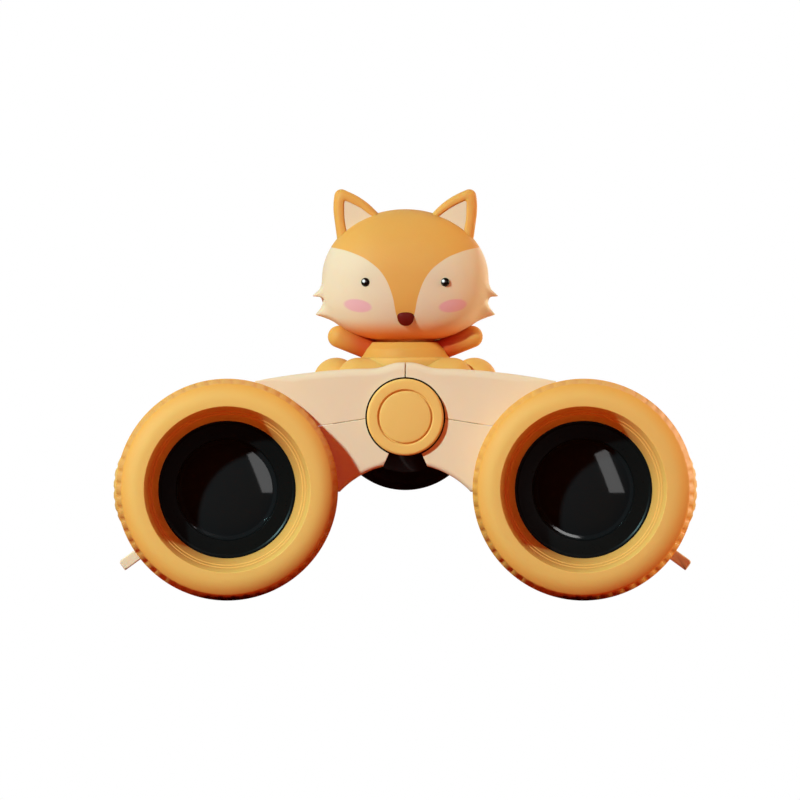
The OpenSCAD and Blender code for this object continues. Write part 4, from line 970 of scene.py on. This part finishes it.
def facePaint(tree, place, base):
    c = faceSettings
    split = addNode(tree, "ShaderNodeSeparateXYZ", {0: place})
    aside = addNode(tree, "ShaderNodeMath", {0: split}, operation="ABSOLUTE")
    share = addNode(tree, "ShaderNodeMath", {0: aside, 1: 1 / (c["wide"] * mm)}, operation="MULTIPLY")
    brow = addNode(tree, "ShaderNodeFloatCurve", {"Value": share})
    knots = brow.mapping.curves[0].points
    for i, (x, z) in enumerate(maskLine):
        spot = (x / c["wide"], (z - c["low"]) / c["tall"])
        if i < 2:
            knots[i].location = spot
        else:
            knots.new(*spot)
    brow.mapping.update()
    rise = {0: split.outputs[2], 1: 1 / (c["tall"] * mm), 2: -c["low"] / c["tall"]}
    height = addNode(tree, "ShaderNodeMath", rise, operation="MULTIPLY_ADD")
    drop = addNode(tree, "ShaderNodeMath", {0: brow, 1: height}, operation="SUBTRACT")
    crisp = {0: drop, 1: c["tall"] / c["lineSoft"], 2: 0.5}
    below = addNode(tree, "ShaderNodeMath", crisp, operation="MULTIPLY_ADD", use_clamp=True)
    backY = (foxY + c["back"]) * mm
    depth = addNode(tree, "ShaderNodeMath", {0: backY, 1: split.outputs[1]}, operation="SUBTRACT")
    fade = {0: depth, 1: 1 / (c["backSoft"] * mm), 2: 0.5}
    ahead = addNode(tree, "ShaderNodeMath", fade, operation="MULTIPLY_ADD", use_clamp=True)
    pale = addNode(tree, "ShaderNodeMath", {0: below, 1: ahead}, operation="MULTIPLY")
    cheek = addNode(tree, "ShaderNodeCombineXYZ", {0: aside, 2: split.outputs[2]})
    middle = (c["blushX"] * mm, 0, c["blushZ"] * mm)
    off = addNode(tree, "ShaderNodeVectorMath", {0: cheek, 1: middle}, operation="SUBTRACT")
    u, w = math.cos(math.radians(c["blushTilt"])), math.sin(math.radians(c["blushTilt"]))
    long, tall = c["blushWide"] * mm, c["blushTall"] * mm
    axes = ((u / long, 0, w / long), (-w / tall, 0, u / tall))
    steps = {}
    for i, axis in enumerate(axes):
        step = addNode(tree, "ShaderNodeVectorMath", {0: off, 1: axis}, operation="DOT_PRODUCT")
        steps[i] = step.outputs["Value"]
    oval = addNode(tree, "ShaderNodeCombineXYZ", steps)
    spread = addNode(tree, "ShaderNodeVectorMath", {0: oval}, operation="LENGTH").outputs["Value"]
    dab = {0: spread, 1: -c["blushEdge"], 2: c["blushEdge"] + 0.5}
    blush = addNode(tree, "ShaderNodeMath", dab, operation="MULTIPLY_ADD", use_clamp=True)
    pink = {0: blush, 6: toLinear(c["cheek"]), 7: toLinear(c["blush"])}
    face = addNode(tree, "ShaderNodeMix", pink, data_type="RGBA").outputs[2]
    # painted shade: the face deepens to orange towards the underside of the chin
    span = {0: split.outputs[2], 1: c["chinFrom"] * mm, 2: c["chinTo"] * mm}
    chinShade = addNode(tree, "ShaderNodeMapRange", span, interpolation_type="SMOOTHSTEP")
    shadeMix = {0: chinShade, 6: face, 7: toLinear(c["chinShade"])}
    shadedFace = addNode(tree, "ShaderNodeMix", shadeMix, data_type="RGBA").outputs[2]
    return addNode(tree, "ShaderNodeMix", {0: pale, 6: base, 7: shadedFace}, data_type="RGBA").outputs[2]


# spray painted ABS: crisp mask line over the orange and blush dabbed on with a pad; the deeper orange under
# the chin is painted shade
facePainted = mouldedMaterial("faceAbsSprayMasked", {**paintedAbs, "colour": "#efa750"}, facePaint)
head = joined("foxHead", [makeHeadForm(), makeEar(1), makeEar(-1)])
settle(head, "centre", facePainted, "orange_plastic", "fox_head")
inlays = joined("foxEarInlays", [makeInlay(1), makeInlay(-1)])
settle(inlays, "centre", beigeAbs, "beige_plastic", "fox_ear_inlays")

# Eyes: lacquered beads with a painted highlight, a white glint dot towards the upper left
eyeSettings = {"x": 7.95, "z": 63.7, "r": 0.9, "proud": 0.8, "sink": 0.12, "turns": 48, "rows": 32,
               "glint": "#f4f0ec", "glintX": -0.36, "glintZ": 0.22, "glintR": 0.3, "glintSoft": 0.12}


def eyeHighlightPaint(tree, place, base):
    c = eyeSettings
    flat = addNode(tree, "ShaderNodeVectorMath", {0: place, 1: (1 / mm, 0, 1 / mm)}, operation="MULTIPLY")
    marks = []
    for sign in (1, -1):
        middle = (sign * c["x"] + c["glintX"], 0, c["z"] + c["glintZ"])
        spread = addNode(tree, "ShaderNodeVectorMath", {0: flat, 1: middle}, operation="DISTANCE")
        crisp = {0: spread.outputs["Value"], 1: -1 / c["glintSoft"], 2: c["glintR"] / c["glintSoft"] + 0.5}
        marks.append(addNode(tree, "ShaderNodeMath", crisp, operation="MULTIPLY_ADD", use_clamp=True))
    # painted highlight: a white dot where the key light reflects
    dot = addNode(tree, "ShaderNodeMath", {0: marks[0], 1: marks[1]}, operation="MAXIMUM")
    dotted = {0: dot, 6: base, 7: toLinear(c["glint"])}
    return addNode(tree, "ShaderNodeMix", dotted, data_type="RGBA").outputs[2]


# black lacquer over a moulded bead: wet dark eyes with a white dot, a painted highlight
beadBlack = glossMaterial("beadBlackLacquered", {
    "colour": "#160906", "waveMm": 2, "roughness": 0.12, "ior": 1.3}, eyeHighlightPaint)
# brown lacquer over a moulded bead: a warm dark nose with one soft highlight
noseBrown = glossMaterial("noseBrownLacquered", {
    "colour": "#6c0e03", "waveMm": 1.2, "roughness": 0.5, "ior": 1.18})


# where the front of the head lies
def faceY(x, z):
    c = headSettings
    dz, front = z - headZ, c["front"]
    tall, power = (c["up"], c["crown"]) if dz > 0 else (c["down"], c["jaw"])
    share = (1 - abs(dz / tall) ** power) ** (1 / power)
    return foxY - c["depth"] * max(0.0, share ** front - abs(x / c["width"]) ** front) ** (1 / front)


# a closed form: place gives the point at a turn round the axis and a tip away from the first pole
def poled(name, place, tips, turns):
    rows = [[place(a, tip) for a in circle(turns)] for tip in tips]
    return skinned(name, [[place(0, 0.0)]] + rows + [[place(0, math.pi)]], 80)


def makeEyes():
    c = eyeSettings
    y = faceY(c["x"], c["z"]) + c["sink"]
    beads = []
    for sign in (1, -1):
        def place(turn, tip, x=sign * c["x"]):
            flat, proud = c["r"] * math.sin(tip), c["proud"] * c["r"] * math.cos(tip)
            return (x + flat * math.cos(turn), y - proud, c["z"] + flat * math.sin(turn))
        beads.append(poled("eye", place, between(0, math.pi, c["rows"])[1:-1], c["turns"]))
    settle(joined("foxEyes", beads), "centre", beadBlack, "black_gloss", "fox_eyes")


# Nose: a rounded wedge, broad and flat on top
noseSettings = {"x": 0.08, "z": 56.5, "wide": 1.66, "tall": 1.55, "proud": 0.7, "out": 0.05, "wedge": 0.2,
                "square": 0.78, "turns": 96, "rows": 36}


def makeNose():
    c = noseSettings
    y = faceY(0, c["z"]) - c["out"]

    def place(turn, tip):
        flat = math.sin(tip)
        u, w = (math.copysign(abs(v) ** c["square"], v) for v in (math.cos(turn), math.sin(turn)))
        x = c["wide"] * u * flat * (1 + c["wedge"] * w) + c["x"]
        return (x, y - c["proud"] * math.cos(tip), c["z"] + c["tall"] * w * flat)

    nose = poled("foxNose", place, between(0, math.pi, c["rows"])[1:-1], c["turns"])
    settle(nose, "centre", noseBrown, "brown_gloss", "fox_nose")


makeEyes()
makeNose()

# Fox body: seat and torso turned in one, with a nape, two thighs in front and two feet at the sides
bodySettings = {"seat": 45.2, "hip": 48.6, "shoulder": 51.7, "hipR": 10.0, "torsoR": 8.9, "chestR": 8.25,
                "chestUp": 1.7, "shoulderR": 6.9, "neckR": 4.45, "neckUp": 4.2,
                "napeR": 6.9, "napeBack": 2.6, "napeLow": 1, "napeUp": 2.8,
                "thighR": 4.2, "thighIn": 1.6, "thighOut": 9.4, "thighY": -5.6,
                "footR": 4.6, "footX": 13.8, "footBack": 5.2, "footFront": 1.0,
                "underLow": (-40, -60, 20), "underHigh": (40, 20),
                "legs": "#eeae5a", "legsFrom": 48.75, "legsTo": 48.55}


def capsule(name, start, stop, r0, r1, turns=56, rows=14):
    start, stop, quarter = Vector(start), Vector(stop), math.pi / 2
    axis = (stop - start).normalized()
    side = axis.cross(Vector((0, 0, 1)) if abs(axis.z) < 0.9 else Vector((1, 0, 0))).normalized()
    over = side.cross(axis)

    def place(turn, tip):
        end, r = (start, r0) if tip < quarter else (stop, r1)
        out = side * math.cos(turn) + over * math.sin(turn)
        return end - axis * (r * math.cos(tip)) + out * (r * math.sin(tip))

    first, last = between(0, quarter, rows)[1:-1], between(quarter, math.pi, rows)[1:-1]
    return poled(name, place, first + [quarter - 1e-6, quarter + 1e-6] + last, turns)


def bodyPaint(tree, place, base):
    c = bodySettings
    split = addNode(tree, "ShaderNodeSeparateXYZ", {0: place})
    span = {0: split.outputs[2], 1: c["legsFrom"] * mm, 2: c["legsTo"] * mm}
    below = addNode(tree, "ShaderNodeMapRange", span)
    paler = {0: below, 6: base, 7: toLinear(c["legs"])}
    return addNode(tree, "ShaderNodeMix", paler, data_type="RGBA").outputs[2]


# spray painted ABS: a deep orange torso over paler legs
bodyPainted = mouldedMaterial("bodyAbsSprayMasked", {**paintedAbs, "colour": "#e39b46"}, bodyPaint)


def makeBody():
    c = bodySettings
    hip, shoulder, neck = c["hip"], c["shoulder"], c["shoulder"] + c["neckUp"]
    torso = filleted([
        (0, c["seat"], 0), (c["hipR"], c["seat"], 0.8), (c["hipR"], hip, 1.0), (c["torsoR"], hip, 0.25),
        (c["chestR"], hip + c["chestUp"], 2.0), (c["shoulderR"], shoulder, 0.5), (c["neckR"], shoulder, 0),
        (c["neckR"], neck, 0.4), (0, neck, 0)], 6, False)
    low, high = hip + c["napeLow"], shoulder + c["napeUp"]
    nape = filleted([(0, low, 0), (c["napeR"], low, 0), (c["napeR"], high, 0.5), (0, high, 0)], 5, False)
    # the nape closes the gap behind the chin
    pieces = [spun("torso", torso, 0, foxY), spun("nape", nape, 0, foxY + c["napeBack"])]
    for sign in (1, -1):
        y, z, r = foxY + c["thighY"], hip - c["thighR"], c["thighR"]
        thigh = capsule("thigh", (sign * c["thighIn"], y, z), (sign * c["thighOut"], y, z), r, r)
        x, z, r = sign * c["footX"], hip - c["footR"], c["footR"]
        foot = capsule("foot", (x, foxY - c["footFront"], z), (x, foxY + c["footBack"], z), r, r)
        for limb in (thigh, foot):
            # leaves the limb flat on the bridge
            under = boxCutter(c["underLow"], (*c["underHigh"], c["seat"]))
            pieces.append(carved(limb, [under]))
    settle(joined("foxBody", pieces), "centre", bodyPainted, "orange_plastic", "fox_body")


# Arms: raised paws, a little fuller at the end
pawSettings = {"x": 13.3, "y": -1.5, "z": 52.8, "r": 2.2, "rootX": 5.8, "rootY": -0.5, "rootShare": 0.92,
               # the inner colour and its span are painted shade where the arms meet the body
               "slope": 23.0, "inner": "#d0521a", "innerFrom": 15.0, "innerTo": 8.0}


def armShadePaint(tree, place, base):
    c = pawSettings
    split = addNode(tree, "ShaderNodeSeparateXYZ", {0: place})
    out = addNode(tree, "ShaderNodeMath", {0: split}, operation="ABSOLUTE")
    # painted shade: darker towards the body, under the head
    span = {0: out, 1: c["innerFrom"] * mm, 2: c["innerTo"] * mm}
    inner = addNode(tree, "ShaderNodeMapRange", span, interpolation_type="SMOOTHSTEP")
    deeper = {0: inner, 6: base, 7: toLinear(c["inner"])}
    return addNode(tree, "ShaderNodeMix", deeper, data_type="RGBA").outputs[2]


# painted ABS: the raised arms, with painted shade deepening the orange where they meet the body under the
# head
armShaded = mouldedMaterial("armAbsPaintedShade", {**paintedAbs, "colour": "#e8a24d"}, armShadePaint)


def makePaws():
    c = pawSettings
    for side, sign in sides:
        drop = (c["x"] - c["rootX"]) * math.tan(math.radians(c["slope"]))
        root = (sign * c["rootX"], foxY + c["rootY"], c["z"] - drop)
        tip = (sign * c["x"], foxY + c["y"], c["z"])
        paw = capsule(f"fox{side.title()}Arm", root, tip, c["r"] * c["rootShare"], c["r"])
        settle(paw, "centre", armShaded, "orange_plastic", f"fox_{side}_arm")


# Tail: a brush that rises behind the seat, pale at its tip
tailSettings = {"rootY": -14.9, "rootZ": 49.8, "lift": 13.0, "back": 6.5, "wide": 3.1, "start": 0.1,
                "full": 0.7, "end": 0.02, "turns": 40, "rows": 48,
                "tip": "#eaccad", "tipZ": 58.4, "zigMm": 1.7453, "zigTall": 0.8, "zigSoft": 0.15}


def tailPaint(tree, place, base):
    c = tailSettings
    split = addNode(tree, "ShaderNodeSeparateXYZ", {0: place})
    zigScale = math.pi / (10 * c["zigMm"] * mm)  # at scale 1 a band is pi / 10 wide
    waves = {"Vector": place, "Scale": zigScale, "Distortion": 2.0}
    zig = addNode(tree, "ShaderNodeTexWave", waves, wave_type="BANDS", bands_direction="X")
    border = {0: zig.outputs[1], 1: c["zigTall"] * mm, 2: -c["tipZ"] * mm}
    level = addNode(tree, "ShaderNodeMath", border, operation="MULTIPLY_ADD")
    over = addNode(tree, "ShaderNodeMath", {0: split.outputs[2], 1: level}, operation="ADD")
    crisp = {0: over, 1: 1 / (c["zigSoft"] * mm), 2: 0.5}
    tip = addNode(tree, "ShaderNodeMath", crisp, operation="MULTIPLY_ADD", use_clamp=True)
    paler = {0: tip, 6: base, 7: toLinear(c["tip"])}
    return addNode(tree, "ShaderNodeMix", paler, data_type="RGBA").outputs[2]


# spray painted ABS: an orange brush with a ragged pale tip
tailPainted = mouldedMaterial("tailAbsSprayMasked", {**paintedAbs, "colour": "#efa750"}, tailPaint)


def makeTail():
    c = tailSettings
    rows = []
    for t in between(0, 1, c["rows"]):
        swell = math.sin(math.pi * (c["start"] + (1 - c["start"]) * t))
        r = c["wide"] * swell ** c["full"] if t < 1 else c["end"]
        rise, run = math.sin(math.pi / 2 * t), math.cos(math.pi / 2 * t)
        y, z = c["rootY"] + c["back"] * rise, c["rootZ"] + c["lift"] * (1 - run)
        slope = math.atan2(c["lift"] * rise, c["back"] * run)
        around = [(r * math.cos(b), r * math.sin(b)) for b in circle(c["turns"])]
        rows.append([(u, y - w * math.sin(slope), z + w * math.cos(slope)) for u, w in around])
    settle(skinned("foxTail", rows, 60, capped=True), "centre", tailPainted, "orange_plastic", "fox_tail")


makeBody()
makePaws()
makeTail()
print("fox built")

# CAD pieces that stay: only their finish is set
keptFinishes = {
    "hinge_spindle": platedSteel, "hinge_washers": platedSteel, "focus_screw": platedSteel,
    "fox_screws": platedSteel, "thrust_washer": blackAbs, "end_nut": blackAbs, "focus_carriage": blackAbs,
    "centre_collar": blackAbs}
for name, material in keptFinishes.items():
    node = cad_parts[name]
    for spot in node.material_slots:
        spot.material = material
    if not node.material_slots:
        node.data.materials.append(material)
print("kept parts finished")

# Stage: pale floor, a red room in front that is dark in reflections, and a white wall of light behind
stageSettings = {"floorHalf": 3.0, "floorGrainMm": 15, "floorPale": ("#f1efec", "#f5f3f1"),
                 "floorGlow": [0.56, 0.064, 0.016, 1.0], "room": [0.3, 0.022, 0.007, 1.0],
                 "dark": [0.012, 0.009, 0.008, 1.0], "white": [1.0, 1.0, 1.0, 1.0],
                 "wall": (1.0, 0.98, 0.95), "wallStrength": 0.7, "wallFrom": 0.0, "wallTo": 0.6}


def makeFloor():
    c = stageSettings
    size = c["floorHalf"]
    mesh = bpy.data.meshes.new("floor")
    corners = [(-size, -size, 0), (size, -size, 0), (size, size, 0), (-size, size, 0)]
    mesh.from_pydata(corners, [], [(0, 1, 2, 3)])
    floor = bpy.data.objects.new("floor", mesh)
    bpy.context.scene.collection.objects.link(floor)
    # matt paper: a pale, even ground with a faint grain
    material, tree = newMaterial("paperFloorMatt")
    grainScale = 2 * size / (c["floorGrainMm"] * mm)  # the pattern runs from 0 to 1 over the whole floor
    grain = addNode(tree, "ShaderNodeTexNoise", {"Scale": grainScale, "Detail": 2.0})
    low, high = (toLinear(code) for code in c["floorPale"])
    pale = addNode(tree, "ShaderNodeMix", {0: grain, 6: low, 7: high}, data_type="RGBA").outputs[2]
    path = addNode(tree, "ShaderNodeLightPath").outputs
    seen = {0: path["Is Glossy Ray"], 6: c["floorGlow"], 7: c["dark"]}
    glow = addNode(tree, "ShaderNodeMix", seen, data_type="RGBA").outputs[2]
    shown = {0: path["Is Camera Ray"], 6: glow, 7: pale}
    tone = addNode(tree, "ShaderNodeMix", shown, data_type="RGBA").outputs[2]
    shader = addNode(tree, "ShaderNodeBsdfDiffuse", {"Color": tone, "Roughness": 0.6})
    addNode(tree, "ShaderNodeOutputMaterial", {"Surface": shader})
    mesh.materials.append(material)


def makeWorld():
    c = stageSettings
    world = bpy.data.worlds.new("studio")
    bpy.context.scene.world = world
    world.use_nodes = True
    tree = world.node_tree
    tree.nodes.clear()
    direction = addNode(tree, "ShaderNodeTexCoord").outputs["Generated"]
    split = addNode(tree, "ShaderNodeSeparateXYZ", {0: direction})
    span = {0: split.outputs[1], 1: c["wallFrom"], 2: c["wallTo"]}
    behind = addNode(tree, "ShaderNodeMapRange", span, interpolation_type="SMOOTHSTEP")
    path = addNode(tree, "ShaderNodeLightPath").outputs
    seen = {0: path["Is Glossy Ray"], 6: c["room"], 7: c["dark"]}
    front = addNode(tree, "ShaderNodeMix", seen, data_type="RGBA").outputs[2]
    wall = [v * c["wallStrength"] for v in c["wall"]] + [1.0]
    light = addNode(tree, "ShaderNodeMix", {0: behind, 6: front, 7: wall}, data_type="RGBA").outputs[2]
    shown = {0: path["Is Camera Ray"], 6: light, 7: c["white"]}
    colour = addNode(tree, "ShaderNodeMix", shown, data_type="RGBA").outputs[2]
    back = addNode(tree, "ShaderNodeBackground", {"Color": colour, "Strength": 1.0})
    addNode(tree, "ShaderNodeOutputWorld", {"Surface": back})


# Lamps aim at the middle of the object; cards show only as reflections in the glass
lampTarget = (0, -0.02, 0.035)
lampSettings = {
    "keyLamp": {"from": (-0.595, -0.676, 0.433), "distance": 1.2, "size": (0.05, 0.05), "power": 16.7384,
                "colour": (0.545, 0.97, 1.0)},
    "sideFill": {"from": (1.0, 0.05, 0.2), "distance": 0.9, "size": (0.3, 0.4), "power": 4.6,
                 "colour": (0.82, 1.0, 0.66)},
    "windowBox": {"from": (0.307, -0.944, 0.07), "distance": 0.8, "size": (0.105, 0.47), "power": 0.95,
                  "colour": (1.0, 1.0, 1.0), "roll": 20.0, "card": True},
    "glintCard": {"from": (0.211, -0.866, 0.453), "distance": 0.8, "size": (0.34, 0.06), "power": 1.1,
                  "colour": (1.0, 1.0, 1.0), "roll": -25.0, "card": True},
    "rimLamp": {"from": (0.55, 0.8, 0.1), "distance": 1.0, "size": (0.4, 0.6), "power": 2.2,
                "colour": (1.0, 0.98, 0.95)}}


def areaLamp(name, c):
    lamp = bpy.data.lights.new(name, "AREA")
    lamp.shape, lamp.size, lamp.size_y = "RECTANGLE", *c["size"]
    lamp.energy, lamp.color = c["power"], c["colour"]
    holder = bpy.data.objects.new(name, lamp)
    bpy.context.scene.collection.objects.link(holder)
    aim = Vector(c["from"]).normalized()
    holder.location = Vector(lampTarget) + aim * c["distance"]
    roll = Quaternion((0, 0, 1), math.radians(c.get("roll", 0.0)))
    holder.rotation_euler = ((-aim).to_track_quat("-Z", "Y") @ roll).to_euler()
    holder.visible_diffuse = not c.get("card", False)


cameraSettings = {"place": (-0.00106, -1.5, 0.04013), "view": 0.16, "clip": (0.01, 20.0)}


def makeCamera():
    c = cameraSettings
    camera = bpy.data.cameras.new("camera")
    camera.type, camera.ortho_scale = "ORTHO", c["view"]
    camera.clip_start, camera.clip_end = c["clip"]
    holder = bpy.data.objects.new("camera", camera)
    bpy.context.scene.collection.objects.link(holder)
    holder.location = c["place"]
    holder.rotation_euler = (math.pi / 2, 0, 0)
    bpy.context.scene.camera = holder


makeFloor()
makeWorld()
for name, settings in lampSettings.items():
    areaLamp(name, settings)
makeCamera()
bpy.context.scene.view_settings.view_transform = "Standard"
print("stage ready")
